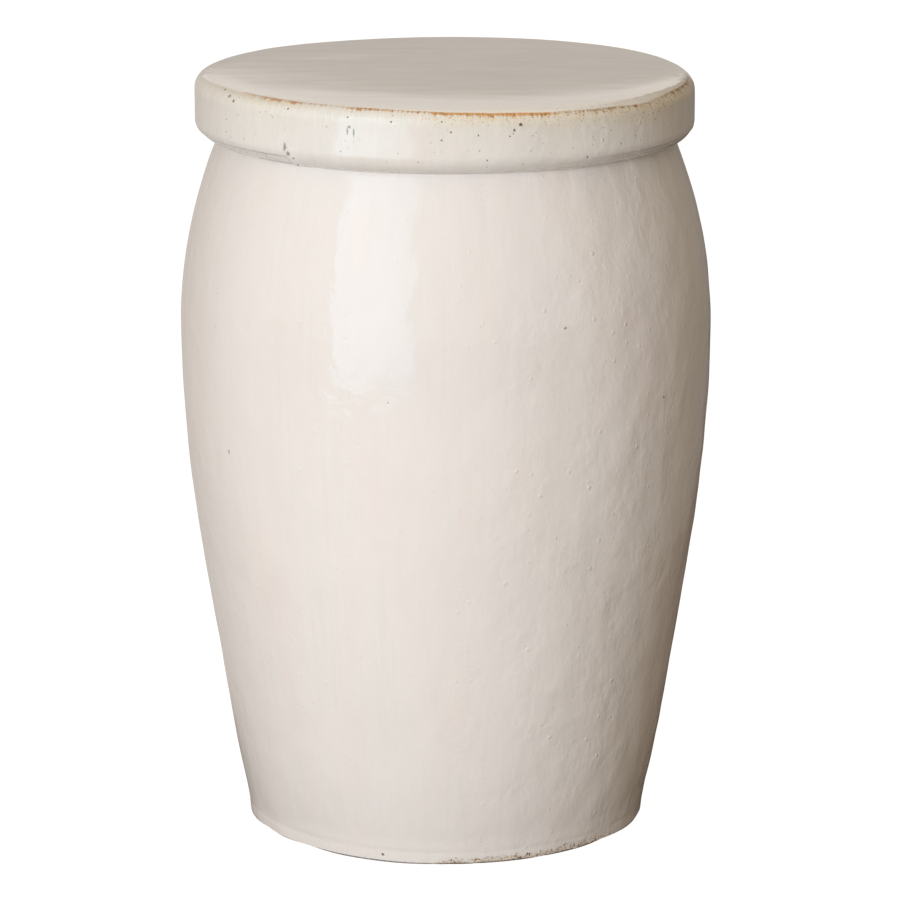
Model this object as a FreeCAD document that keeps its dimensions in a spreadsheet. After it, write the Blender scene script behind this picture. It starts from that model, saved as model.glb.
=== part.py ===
import FreeCAD, Part
import Sketcher
import math
import os
import re
from dataclasses import dataclass

# A hollow stoneware garden stool: a barrel wall joined at the belly, a flat seat slab on top,
# a rolled collar under the slab's overhang, a thick foot ring and a thin coat of glaze outside.
# Every piece is a ring or disc about the upright axis, drawn as a half section and turned round.
# The floor is at height 0, heights run up the axis and all sizes are in millimetres.

SIZES = {
    # Whole outline, measured over the glaze
    "overall_height": 460.0,
    "belly_radius": 161.0,
    "belly_drop": 115.6,
    "shoulder_curve": 297.0,
    "belly_curve": 850.0,
    "taper_angle": 8.8,
    "tuck_height": 60.0,
    "tuck_curve": 520.0,
    "lip_height": 8.0,
    # Rim and seat edge, measured over the glaze
    "rim_overhang": 12.4,
    "rim_depth": 39.4,
    "rim_roll": 11.4,
    "seat_corner": 9.4,
    # Clay members
    "wall_thickness": 9.0,
    "slab_thickness": 14.0,
    "foot_joint_height": 28.0,
    "foot_width": 16.0,
    "foot_edge": 1.5,
    "seam_coil_reach": 13.0,
    "seam_coil_round": 22.0,
    "corner_coil_leg": 15.0,
    "corner_coil_hollow": 26.0,
    # Glaze coat and the bare clay band wiped clean above the floor
    "glaze_thickness": 0.8,
    "bare_foot_height": 3.0,
}

# Heights and offsets that more than one piece shares
NECK_HEIGHT = "(overall_height - rim_depth)"
BELLY_HEIGHT = f"({NECK_HEIGHT} - belly_drop)"
NECK_RADIUS = "(belly_radius - shoulder_curve + sqrt(shoulder_curve^2 - belly_drop^2))"
RIM_RADIUS = f"({NECK_RADIUS} + rim_overhang)"
ROLL = "min(rim_roll; rim_overhang - glaze_thickness)"
CLAY_TOP = "(overall_height - glaze_thickness)"
SLAB_UNDERSIDE = f"({CLAY_TOP} - slab_thickness)"
COLLAR_UNDERSIDE = f"({NECK_HEIGHT} + glaze_thickness)"
CLAY_SURFACE = "glaze_thickness"
INSIDE_SURFACE = "(glaze_thickness + wall_thickness)"

# Where the belly's curve gives way to the straight taper, and the taper to the tuck above the foot
TAPER_TOP_RADIUS = "(belly_radius - belly_curve + belly_curve * cos(taper_angle))"
TAPER_TOP_HEIGHT = f"({BELLY_HEIGHT} - belly_curve * sin(taper_angle))"
TUCK_RADIUS = f"({TAPER_TOP_RADIUS} - ({TAPER_TOP_HEIGHT} - tuck_height) * tan(taper_angle))"

# Which way an edge bends on the way to the next corner of its section
LEFT = 1
RIGHT = -1


@dataclass(frozen=True)
class Corner:
    """A corner of a half section, and the edge that leaves it."""

    radius: str
    height: str
    bend: str = ""
    turn: int = LEFT


class WallCurve:
    """The barrel's outline, at a depth square to the glaze surface."""

    def __init__(self, depth):
        self.depth = depth
        self.shoulder_bend = f"(shoulder_curve - {depth})"
        self.belly_bend = f"(belly_curve - {depth})"
        self.tuck_bend = f"(tuck_curve - {depth})"

    def shoulder(self, height, bend="", turn=LEFT):
        """The corner at a height above the widest line."""
        rise = f"({height} - {BELLY_HEIGHT})"
        radius = f"belly_radius - shoulder_curve + sqrt({self.shoulder_bend}^2 - {rise}^2)"
        return Corner(radius, height, bend, turn)

    def widest(self, bend="", turn=LEFT):
        """The corner on the widest line."""
        return Corner(f"belly_radius - {self.depth}", BELLY_HEIGHT, bend, turn)

    def below_widest(self, drop, bend="", turn=LEFT):
        """The corner a short drop below the widest line, on the belly's curve."""
        radius = f"belly_radius - belly_curve + sqrt({self.belly_bend}^2 - {drop}^2)"
        return Corner(radius, f"{BELLY_HEIGHT} - {drop}", bend, turn)

    def taper_top(self, bend="", turn=LEFT):
        """The corner where the belly's curve runs out into the straight taper."""
        radius = f"belly_radius - belly_curve + {self.belly_bend} * cos(taper_angle)"
        height = f"{BELLY_HEIGHT} - {self.belly_bend} * sin(taper_angle)"
        return Corner(radius, height, bend, turn)

    def taper_foot(self, bend="", turn=LEFT):
        """The corner where the straight taper meets the tuck above the foot."""
        radius = f"{TUCK_RADIUS} - {self.depth} * cos(taper_angle)"
        height = f"tuck_height + {self.depth} * sin(taper_angle)"
        return Corner(radius, height, bend, turn)

    def tuck(self, height, bend="", turn=LEFT):
        """The corner at a height on the tuck, between the straight taper and the foot's lip."""
        centre_radius = f"({TUCK_RADIUS} - tuck_curve * cos(taper_angle))"
        centre_height = "(tuck_height + tuck_curve * sin(taper_angle))"
        radius = f"{centre_radius} + sqrt({self.tuck_bend}^2 - ({centre_height} - {height})^2)"
        return Corner(radius, height, bend, turn)


GLAZE_CURVE = WallCurve("0")
CLAY_CURVE = WallCurve(CLAY_SURFACE)
INSIDE_CURVE = WallCurve(INSIDE_SURFACE)


def make_sheet(document):
    """Writes the driving dimensions into a spreadsheet, one named cell each."""
    sheet = document.addObject("Spreadsheet::Sheet", "Sizes")
    for row, (name, value) in enumerate(SIZES.items(), start=1):
        sheet.set(f"A{row}", name)
        sheet.set(f"B{row}", str(value))
        sheet.setAlias(f"B{row}", name)
    document.recompute()
    return sheet


def tied(formula):
    """Spells a formula so that each size in it names its cell."""
    names = "|".join(SIZES)
    return re.sub(rf"\b({names})\b", r"Sizes.\1", formula)


def value_of(sheet, formula):
    """Works a formula out as a plain number."""
    return float(sheet.evalExpression(tied(formula)))


def arc_centre(start, end, radius, turn):
    """The centre of the smaller arc from start to end, which turns left or right."""
    middle = (start + end) * 0.5
    half_chord = (end - start).Length / 2
    along = (end - start).normalize()
    left = FreeCAD.Vector(-along.y, along.x, 0)
    return middle + left * (turn * math.sqrt(radius**2 - half_chord**2))


def make_arc(start, end, radius, turn):
    """A circular edge of a section, from start to end."""
    centre = arc_centre(start, end, radius, turn)
    across = (start + end) * 0.5 - centre
    crown = centre + across.normalize() * radius
    return Part.Arc(start, crown, end)


def draw_section(sheet, sketch, corners):
    """Draws a closed half section whose corners and bends are tied to the sheet."""
    points = [
        FreeCAD.Vector(value_of(sheet, corner.radius), value_of(sheet, corner.height), 0)
        for corner in corners
    ]
    for index, corner in enumerate(corners):
        start = points[index]
        end = points[(index + 1) % len(points)]
        if corner.bend:
            edge = make_arc(start, end, value_of(sheet, corner.bend), corner.turn)
        else:
            edge = Part.LineSegment(start, end)
        sketch.addGeometry(edge, False)
    for index, corner in enumerate(corners):
        join_corner(sketch, corners, index)
        fix_corner(sketch, corners, index)
        if corner.bend:
            name = f"bend_{index}"
            radius = value_of(sheet, corner.bend)
            tie(sketch, Sketcher.Constraint("Radius", index, radius), name, corner.bend)


def edge_start(corners, index):
    """The end of an edge, 1 or 2, that lies on its own corner."""
    backwards = corners[index].bend and corners[index].turn == RIGHT
    return 2 if backwards else 1


def join_corner(sketch, corners, index):
    """Joins the edge that leaves a corner to the edge that reaches it."""
    before = (index - 1) % len(corners)
    reaching_end = 3 - edge_start(corners, before)
    leaving_end = edge_start(corners, index)
    sketch.addConstraint(
        Sketcher.Constraint("Coincident", before, reaching_end, index, leaving_end)
    )


def fix_corner(sketch, corners, index):
    """Ties a corner's distance from the axis and its height to the sheet."""
    end = edge_start(corners, index)
    corner = corners[index]
    point = sketch.getPoint(index, end)
    if corner.radius == "0":
        sketch.addConstraint(Sketcher.Constraint("PointOnObject", index, end, -2))
    else:
        across = Sketcher.Constraint("DistanceX", -1, 1, index, end, point.x)
        tie(sketch, across, f"radius_{index}", corner.radius)
    if corner.height == "0":
        sketch.addConstraint(Sketcher.Constraint("PointOnObject", index, end, -1))
    else:
        upward = Sketcher.Constraint("DistanceY", -1, 1, index, end, point.y)
        tie(sketch, upward, f"height_{index}", corner.height)


def tie(sketch, constraint, name, formula):
    """Adds a named constraint that follows a formula of the sheet."""
    number = sketch.addConstraint(constraint)
    sketch.renameConstraint(number, name)
    sketch.setExpression(f"Constraints.{name}", tied(formula))


def origin_plane(body, role):
    """One of a body's own origin planes."""
    return next(plane for plane in body.Origin.OriginFeatures if plane.Role == role)


def turned_body(document, sheet, name, corners):
    """A body made by turning one half section about the upright axis."""
    body = document.addObject("PartDesign::Body", name)
    body.Label = name
    body.Placement = FreeCAD.Placement()
    sketch = body.newObject("Sketcher::SketchObject", f"{name}_section")
    sketch.AttachmentSupport = [(origin_plane(body, "XZ_Plane"), "")]
    sketch.MapMode = "FlatFace"
    document.recompute()
    draw_section(sheet, sketch, corners)
    document.recompute()
    turning = body.newObject("PartDesign::Revolution", f"{name}_turning")
    turning.Profile = sketch
    turning.ReferenceAxis = (sketch, ["V_Axis"])
    turning.Angle = 360.0
    sketch.Visibility = False
    document.recompute()
    return body


def round_floor_edges(document, body, size):
    """Rounds the edges of a body that lie on the floor."""
    base = body.Tip
    floor_edges = [
        f"Edge{number}"
        for number, edge in enumerate(base.Shape.Edges, start=1)
        if edge.BoundBox.ZMax < 1e-6
    ]
    rounding = body.newObject("PartDesign::Fillet", f"{body.Name}_rounding")
    rounding.Base = (base, floor_edges)
    rounding.Radius = 1.0
    rounding.setExpression("Radius", tied(size))
    body.Tip = rounding
    document.recompute()


def make_upper_wall(document, sheet):
    """The wall from the belly joint up to the underside of the seat slab."""
    return turned_body(document, sheet, "upper_wall", [
        CLAY_CURVE.widest(CLAY_CURVE.shoulder_bend, LEFT),
        CLAY_CURVE.shoulder(SLAB_UNDERSIDE),
        INSIDE_CURVE.shoulder(SLAB_UNDERSIDE, INSIDE_CURVE.shoulder_bend, RIGHT),
        INSIDE_CURVE.widest(),
    ])


def make_lower_wall(document, sheet):
    """The wall from the foot ring's joint up to the belly joint."""
    return turned_body(document, sheet, "lower_wall", [
        CLAY_CURVE.tuck("foot_joint_height", CLAY_CURVE.tuck_bend, LEFT),
        CLAY_CURVE.taper_foot(),
        CLAY_CURVE.taper_top(CLAY_CURVE.belly_bend, LEFT),
        CLAY_CURVE.widest(),
        INSIDE_CURVE.widest(INSIDE_CURVE.belly_bend, RIGHT),
        INSIDE_CURVE.taper_top(),
        INSIDE_CURVE.taper_foot(INSIDE_CURVE.tuck_bend, RIGHT),
        INSIDE_CURVE.tuck("foot_joint_height"),
    ])


def make_belly_seam_coil(document, sheet):
    """The coil of clay pressed over the belly joint from inside."""
    return turned_body(document, sheet, "belly_seam_coil", [
        INSIDE_CURVE.below_widest("seam_coil_reach", INSIDE_CURVE.belly_bend, LEFT),
        INSIDE_CURVE.widest(INSIDE_CURVE.shoulder_bend, LEFT),
        INSIDE_CURVE.shoulder(f"({BELLY_HEIGHT} + seam_coil_reach)", "seam_coil_round", LEFT),
    ])


def make_seat_slab(document, sheet):
    """The flat disc that closes the top, with a rounded upper edge."""
    edge_round = "(seat_corner - glaze_thickness)"
    edge_start_height = "overall_height - seat_corner"
    flat_radius = f"{RIM_RADIUS} - seat_corner"
    edge_radius = f"{RIM_RADIUS} - glaze_thickness"
    return turned_body(document, sheet, "seat_slab", [
        Corner("0", SLAB_UNDERSIDE),
        Corner(edge_radius, SLAB_UNDERSIDE),
        Corner(edge_radius, edge_start_height, edge_round, LEFT),
        Corner(flat_radius, CLAY_TOP),
        Corner("0", CLAY_TOP),
    ])


def make_rim_collar(document, sheet):
    """The strip of clay under the slab's overhang, rolled round below."""
    side_radius = f"{RIM_RADIUS} - glaze_thickness"
    return turned_body(document, sheet, "rim_collar", [
        CLAY_CURVE.shoulder(COLLAR_UNDERSIDE),
        Corner(f"{RIM_RADIUS} - {ROLL}", COLLAR_UNDERSIDE, f"({ROLL} - glaze_thickness)", LEFT),
        Corner(side_radius, f"{NECK_HEIGHT} + {ROLL}"),
        Corner(side_radius, SLAB_UNDERSIDE),
        CLAY_CURVE.shoulder(SLAB_UNDERSIDE, CLAY_CURVE.shoulder_bend, RIGHT),
    ])


def make_seat_corner_coil(document, sheet):
    """The coil of clay smoothed into the corner under the seat slab, inside."""
    coil_foot = f"({SLAB_UNDERSIDE} - corner_coil_leg)"
    corner = INSIDE_CURVE.shoulder(SLAB_UNDERSIDE)
    return turned_body(document, sheet, "seat_corner_coil", [
        INSIDE_CURVE.shoulder(coil_foot, INSIDE_CURVE.shoulder_bend, LEFT),
        corner,
        Corner(f"{corner.radius} - corner_coil_leg", SLAB_UNDERSIDE, "corner_coil_hollow", RIGHT),
    ])


def make_foot_ring(document, sheet):
    """The thickened ring that the stool stands on, with an upright lip outside."""
    lip = CLAY_CURVE.tuck("lip_height", CLAY_CURVE.tuck_bend, LEFT)
    body = turned_body(document, sheet, "foot_ring", [
        Corner(f"{lip.radius} - foot_width", "0"),
        Corner(lip.radius, "0"),
        lip,
        CLAY_CURVE.tuck("foot_joint_height"),
        INSIDE_CURVE.tuck("foot_joint_height"),
    ])
    round_floor_edges(document, body, "foot_edge")
    return body


def make_wall_glaze(document, sheet):
    """The coat of glaze over the wall and the foot's lip, up to the neck."""
    glaze_lip = GLAZE_CURVE.tuck("lip_height", GLAZE_CURVE.tuck_bend, LEFT)
    clay_lip = CLAY_CURVE.tuck("lip_height")
    return turned_body(document, sheet, "wall_glaze", [
        Corner(clay_lip.radius, "bare_foot_height"),
        Corner(glaze_lip.radius, "bare_foot_height"),
        glaze_lip,
        GLAZE_CURVE.taper_foot(),
        GLAZE_CURVE.taper_top(GLAZE_CURVE.belly_bend, LEFT),
        GLAZE_CURVE.widest(GLAZE_CURVE.shoulder_bend, LEFT),
        GLAZE_CURVE.shoulder(NECK_HEIGHT),
        CLAY_CURVE.shoulder(NECK_HEIGHT, CLAY_CURVE.shoulder_bend, RIGHT),
        CLAY_CURVE.widest(CLAY_CURVE.belly_bend, RIGHT),
        CLAY_CURVE.taper_top(),
        CLAY_CURVE.taper_foot(CLAY_CURVE.tuck_bend, RIGHT),
        clay_lip,
    ])


def make_rim_glaze(document, sheet):
    """The coat of glaze round the collar and the slab's edge."""
    roll_radius = f"{RIM_RADIUS} - {ROLL}"
    roll_height = f"{NECK_HEIGHT} + {ROLL}"
    corner_radius = f"{RIM_RADIUS} - seat_corner"
    corner_height = "overall_height - seat_corner"
    clay_side = f"{RIM_RADIUS} - glaze_thickness"
    return turned_body(document, sheet, "rim_glaze", [
        CLAY_CURVE.shoulder(NECK_HEIGHT),
        Corner(roll_radius, NECK_HEIGHT, ROLL, LEFT),
        Corner(RIM_RADIUS, roll_height),
        Corner(RIM_RADIUS, corner_height, "seat_corner", LEFT),
        Corner(corner_radius, "overall_height"),
        Corner(corner_radius, CLAY_TOP, "(seat_corner - glaze_thickness)", RIGHT),
        Corner(clay_side, corner_height),
        Corner(clay_side, roll_height, f"({ROLL} - glaze_thickness)", RIGHT),
        Corner(roll_radius, COLLAR_UNDERSIDE),
        CLAY_CURVE.shoulder(COLLAR_UNDERSIDE, CLAY_CURVE.shoulder_bend, RIGHT),
    ])


def make_seat_glaze(document, sheet):
    """The coat of glaze over the flat of the seat."""
    flat_radius = f"{RIM_RADIUS} - seat_corner"
    return turned_body(document, sheet, "seat_glaze", [
        Corner("0", CLAY_TOP),
        Corner(flat_radius, CLAY_TOP),
        Corner(flat_radius, "overall_height"),
        Corner("0", "overall_height"),
    ])


MAKERS = [
    make_foot_ring,
    make_lower_wall,
    make_belly_seam_coil,
    make_upper_wall,
    make_seat_corner_coil,
    make_seat_slab,
    make_rim_collar,
    make_wall_glaze,
    make_rim_glaze,
    make_seat_glaze,
]


def check_document(document, bodies):
    """Stops if any object failed to compute or any piece isn't one sound solid."""
    for item in document.Objects:
        if "Invalid" in item.State or "Error" in item.State:
            raise RuntimeError(f"{item.Label} failed: {item.State}")
    for body in bodies:
        shape = body.Shape
        if shape.isNull() or not shape.isValid() or len(shape.Solids) != 1:
            raise RuntimeError(f"{body.Label} isn't one sound solid")


def write_parts(bodies):
    """Writes each piece to its own file."""
    os.makedirs("parts", exist_ok=True)
    for body in bodies:
        body.Shape.exportStep(os.path.join("parts", f"{body.Label}.step"))
        litres = body.Shape.Volume / 1e6
        print(f"{body.Label}: {litres:.3f} litres")


def main():
    document = FreeCAD.newDocument("garden_stool")
    sheet = make_sheet(document)
    bodies = [make(document, sheet) for make in MAKERS]
    check_document(document, bodies)
    write_parts(bodies)


main()
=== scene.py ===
"""Looks of a ceramic garden stool: its coats of glaze and its clay members, in a small studio.

Lengths are in metres unless a name or comment says millimetres. Angles round the stool are
measured from the front, and grow towards its right-hand side as the camera sees it.
"""

import logging
import math
from dataclasses import dataclass, field
from enum import Enum
from functools import cached_property, reduce
from typing import Any, Callable, Sequence

import bpy
import numpy as np
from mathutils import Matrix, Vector


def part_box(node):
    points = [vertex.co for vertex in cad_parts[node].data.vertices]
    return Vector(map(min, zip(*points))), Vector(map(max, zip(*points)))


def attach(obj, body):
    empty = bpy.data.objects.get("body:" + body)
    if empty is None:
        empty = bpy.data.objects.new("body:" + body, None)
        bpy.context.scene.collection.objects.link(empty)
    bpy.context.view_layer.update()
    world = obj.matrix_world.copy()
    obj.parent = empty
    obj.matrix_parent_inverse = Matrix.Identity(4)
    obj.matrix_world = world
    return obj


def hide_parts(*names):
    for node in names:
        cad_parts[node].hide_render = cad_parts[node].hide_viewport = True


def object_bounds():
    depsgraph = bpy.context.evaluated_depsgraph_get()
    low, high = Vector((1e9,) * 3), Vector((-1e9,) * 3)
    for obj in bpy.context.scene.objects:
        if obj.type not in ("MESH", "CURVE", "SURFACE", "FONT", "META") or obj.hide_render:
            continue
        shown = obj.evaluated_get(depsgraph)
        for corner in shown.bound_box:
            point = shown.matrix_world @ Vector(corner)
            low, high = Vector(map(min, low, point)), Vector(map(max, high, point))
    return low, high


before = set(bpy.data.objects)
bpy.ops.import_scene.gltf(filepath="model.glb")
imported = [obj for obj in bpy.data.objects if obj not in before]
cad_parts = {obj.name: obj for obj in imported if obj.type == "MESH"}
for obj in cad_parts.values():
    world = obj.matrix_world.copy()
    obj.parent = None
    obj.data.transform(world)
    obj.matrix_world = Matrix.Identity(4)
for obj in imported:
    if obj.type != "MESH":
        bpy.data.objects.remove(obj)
CAD_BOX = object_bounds()

LOG = logging.getLogger("garden_stool")
MM = 0.001
BODY = "root"
FOLD_HEIGHT = 7.0 * MM

Colour = tuple[float, float, float]
Place = tuple[float, float]
Stops = tuple[tuple[float, float], ...]


class Slot(Enum):
    """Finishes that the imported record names."""

    BARE_CLAY = "bare_clay"
    WALL_GLAZE = "wall_glaze"
    RIM_GLAZE = "rim_glaze"
    SEAT_GLAZE = "seat_glaze"


class Ray(Enum):
    """Kinds of ray that see a stage piece."""

    CAMERA = "visible_camera"
    DIFFUSE = "visible_diffuse"
    GLOSSY = "visible_glossy"
    TRANSMISSION = "visible_transmission"
    SHADOW = "visible_shadow"
    VOLUME = "visible_volume_scatter"


# Sizes and outline


def node_top(node: str) -> float:
    """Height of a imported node's highest point."""
    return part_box(node)[1].z


def node_foot(node: str) -> float:
    """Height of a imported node's lowest point."""
    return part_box(node)[0].z


def node_radius(node: str) -> float:
    """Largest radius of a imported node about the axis."""
    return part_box(node)[1].x


def from_node(read: Callable[[str], float], node: str) -> Any:
    """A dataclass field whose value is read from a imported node."""
    return field(default_factory=lambda: read(node))


@dataclass(frozen=True)
class StoolSizes:
    """Driving sizes of the stool, over the glaze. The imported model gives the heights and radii."""

    height: float = from_node(node_top, "seat_glaze")
    neck_height: float = from_node(node_top, "wall_glaze")
    bare_foot_height: float = from_node(node_foot, "wall_glaze")
    belly_radius: float = from_node(node_radius, "wall_glaze")
    belly_height: float = from_node(node_foot, "upper_wall")
    foot_joint_height: float = from_node(node_top, "foot_ring")
    slab_underside: float = from_node(node_foot, "seat_slab")
    rim_radius: float = from_node(node_radius, "rim_glaze")
    seat_radius: float = from_node(node_radius, "seat_glaze")
    collar_underside: float = from_node(node_foot, "rim_collar")
    shoulder_curve: float = 297 * MM
    belly_curve: float = 850 * MM
    taper_angle: float = math.radians(8.8)
    tuck_height: float = 60 * MM
    tuck_curve: float = 520 * MM
    lip_height: float = 8 * MM
    rim_roll: float = 11.4 * MM
    wall: float = 9 * MM
    glaze: float = 0.8 * MM
    foot_width: float = 16 * MM
    foot_edge: float = 1.5 * MM
    seam_reach: float = 13 * MM
    seam_round: float = 22 * MM
    coil_leg: float = 15 * MM
    coil_hollow: float = 26 * MM

    @property
    def corner(self) -> float:
        """Radius of the seat's edge."""
        return self.rim_radius - self.seat_radius

    @property
    def corner_height(self) -> float:
        """Height where the seat's edge starts to turn."""
        return self.height - self.corner

    @property
    def inside(self) -> float:
        """Depth of the wall's inner face under the glaze surface."""
        return self.wall + self.glaze

    @property
    def clay_side(self) -> float:
        """Radius of the rim's clay."""
        return self.rim_radius - self.glaze

    @property
    def clay_top(self) -> float:
        """Height of the slab's clay."""
        return self.height - self.glaze

    @property
    def roll_centre(self) -> tuple[float, float]:
        """Radius and height of the centre of the rim's roll."""
        return self.rim_radius - self.rim_roll, self.neck_height + self.rim_roll

    @property
    def corner_centre(self) -> tuple[float, float]:
        """Radius and height of the centre of the seat's edge."""
        return self.seat_radius, self.corner_height


class WallOutline:
    """The barrel's half outline, at any depth square to the glaze surface."""

    def __init__(self, sizes: StoolSizes) -> None:
        """Works out where the outline's curves meet.

        Args:
            sizes: Driving sizes of the stool.
        """
        self.sizes = sizes
        self.sine = math.sin(sizes.taper_angle)
        self.cosine = math.cos(sizes.taper_angle)
        taper_top_height = sizes.belly_height - sizes.belly_curve * self.sine
        taper_top_radius = sizes.belly_radius - sizes.belly_curve * (1 - self.cosine)
        taper_run = (taper_top_height - sizes.tuck_height) * self.sine / self.cosine
        self.tuck_radius = taper_top_radius - taper_run

    def radius(self, heights: np.ndarray, depth: float) -> np.ndarray:
        """Radius of the barrel.

        Args:
            heights: Heights above the floor.
            depth: Depth under the glaze surface, square to it.

        Returns:
            The radius at each height.
        """
        sizes = self.sizes
        heights = np.maximum(np.asarray(heights, float), sizes.lip_height)
        rise = heights - sizes.belly_height
        shoulder = sizes.belly_radius - sizes.shoulder_curve + self.reach(sizes.shoulder_curve - depth, rise)
        belly = sizes.belly_radius - sizes.belly_curve + self.reach(sizes.belly_curve - depth, rise)
        taper_foot_height = sizes.tuck_height + depth * self.sine
        taper_foot_radius = self.tuck_radius - depth * self.cosine
        taper = taper_foot_radius + (heights - taper_foot_height) * self.sine / self.cosine
        centre_height = sizes.tuck_height + sizes.tuck_curve * self.sine
        centre_radius = self.tuck_radius - sizes.tuck_curve * self.cosine
        tuck = centre_radius + self.reach(sizes.tuck_curve - depth, heights - centre_height)
        taper_top_height = sizes.belly_height - (sizes.belly_curve - depth) * self.sine
        zones = [heights >= sizes.belly_height, heights >= taper_top_height, heights >= taper_foot_height]
        return np.select(zones, [shoulder, belly, taper], tuck)

    def at(self, height: float, depth: float) -> float:
        """Radius of the barrel at one height."""
        return float(self.radius(height, depth))

    def rows(self, heights: np.ndarray, depth: float) -> np.ndarray:
        """Rows of radius and height along the barrel."""
        return np.stack([self.radius(heights, depth), heights], axis=-1)

    @staticmethod
    def reach(curve: float, rise: np.ndarray) -> np.ndarray:
        """Distance out from an arc's centre at a rise above it."""
        return np.sqrt(np.maximum(curve**2 - rise**2, 0.0))


class Section:
    """A half section drawn corner by corner, with points spaced along its edges."""

    def __init__(self, radius: float, height: float, spacing: float) -> None:
        """Starts the section at its first corner."""
        self.points: list[tuple[float, float]] = [(radius, height)]
        self.spacing = spacing

    def line(self, radius: float, height: float) -> None:
        """Draws a straight edge to the corner at a radius and height.

        Args:
            radius: Radius of the corner.
            height: Height of the corner.
        """
        start = np.array(self.points[-1])
        end = np.array((radius, height))
        count = max(int(np.linalg.norm(end - start) / self.spacing), 1)
        shares = np.arange(1, count + 1)[:, None] / count
        self.points += [tuple(point) for point in start + shares * (end - start)]

    def arc(self, radius: float, height: float, centre: tuple[float, float]) -> None:
        """Draws the shorter arc about a centre to the corner at a radius and height.

        Args:
            radius: Radius of the corner.
            height: Height of the corner.
            centre: Radius and height of the arc's centre.
        """
        from_centre = np.array(self.points[-1]) - centre
        to_centre = np.array((radius, height)) - centre
        bend = np.linalg.norm(from_centre)
        start = math.atan2(from_centre[1], from_centre[0])
        turn = (math.atan2(to_centre[1], to_centre[0]) - start + math.pi) % math.tau - math.pi
        count = max(int(abs(turn) * bend / self.spacing), 2)
        for share in np.arange(1, count + 1) / count:
            angle = start + turn * share
            self.points.append((centre[0] + bend * math.cos(angle), centre[1] + bend * math.sin(angle)))

    def array(self) -> np.ndarray:
        """The section's points as rows of radius and height."""
        return np.array(self.points)


def graded_steps(marks: Sequence[tuple[float, float]]) -> np.ndarray:
    """Spaces values from the first mark to the last.

    Args:
        marks: Pairs of a place and the step there, in rising order.

    Returns:
        The spaced values, ends included.
    """
    places, steps = zip(*marks)
    values = [places[0]]
    while values[-1] < places[-1]:
        values.append(values[-1] + float(np.interp(values[-1], places, steps)))
    spread = np.array(values) - places[0]
    return places[0] + spread * (places[-1] - places[0]) / spread[-1]


def run_length(rows: np.ndarray) -> np.ndarray:
    """Distance of each row of a section from its first, in one column."""
    return np.concatenate([[0.0], np.cumsum(np.hypot(*np.diff(rows, axis=0).T))])[:, None]


# Random relief and the shape that hands gave the stool


def ease(values: np.ndarray, low: float, high: float) -> np.ndarray:
    """Smooth step from 0 at low to 1 at high, which may be the lower of the two."""
    share = np.clip((values - low) / (high - low), 0.0, 1.0)
    return share * share * (3 - 2 * share)


def bell(values: np.ndarray, centre: float, spread: float) -> np.ndarray:
    """Bell curve of height 1 about a centre."""
    return np.exp(-(((values - centre) / spread) ** 2))


def crumbled_front(degrees: np.ndarray) -> np.ndarray:
    """Where round the stool the foot's glaze and clay have crumbled, from 0 to 1."""
    return ease(degrees, -14, 6) * ease(degrees, 64, 44)


def spline_weights(share: np.ndarray) -> list[np.ndarray]:
    """Weights of four neighbouring knots in a cubic B-spline.

    Args:
        share: How far each place lies past its second knot, from 0 to 1.

    Returns:
        The four weights.
    """
    rest = 1 - share
    near = [(3 * part**3 - 6 * part**2 + 4) / 6 for part in (share, rest)]
    return [rest**3 / 6, *near, share**3 / 6]


class RoundLumps:
    """Smooth random heights, mostly between -1 and 1, seamless round the axis and alike on every run."""

    GAIN = 2.2
    CELLS = 96

    def __init__(self, seed: int, around: int = CELLS, length: float = 1.0) -> None:
        """Draws the knots.

        Args:
            seed: Number that fixes the draw.
            around: Lumps in a full turn.
            length: Length of a lump along the section.
        """
        self.knots = np.random.default_rng(seed).uniform(-1.0, 1.0, (around, self.CELLS)) * self.GAIN
        self.length = length

    def read(self, across: np.ndarray, along: np.ndarray) -> np.ndarray:
        """Heights at places that are counted in cells of the two directions.

        Args:
            across: Places in the first direction.
            along: Places in the second direction.

        Returns:
            The heights, in the shape of the two broadcast together.
        """
        across, along = np.broadcast_arrays(across, along)
        column = np.floor(across).astype(int)
        row = np.floor(along).astype(int)
        total = np.zeros(across.shape)
        row_weights = spline_weights(along - row)
        for i, column_weight in enumerate(spline_weights(across - column)):
            for j, row_weight in enumerate(row_weights):
                knots = self.knots[(column + i) % self.knots.shape[0], (row + j) % self.knots.shape[1]]
                total += column_weight * row_weight * knots
        return total

    def on(self, angles: np.ndarray, places: np.ndarray | float = 0.0) -> np.ndarray:
        """Heights at angles round the axis and places along the section."""
        return self.read((angles / math.tau + 0.5) * self.knots.shape[0], places / self.length)


@dataclass(frozen=True)
class TurnProfile:
    """A value that changes smoothly round the stool, given at even steps from the back."""

    values_mm: tuple[float, ...]

    def at(self, angles: np.ndarray) -> np.ndarray:
        """The value at some angles, in metres.

        Args:
            angles: Angles round the stool.

        Returns:
            The values.
        """
        count = len(self.values_mm)
        places = (angles / math.tau + 0.5) * count
        first = np.floor(places).astype(int)
        knots = np.array(self.values_mm) * MM
        weights = spline_weights(places - first)
        return sum(weight * knots[(first + i - 1) % count] for i, weight in enumerate(weights))


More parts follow.
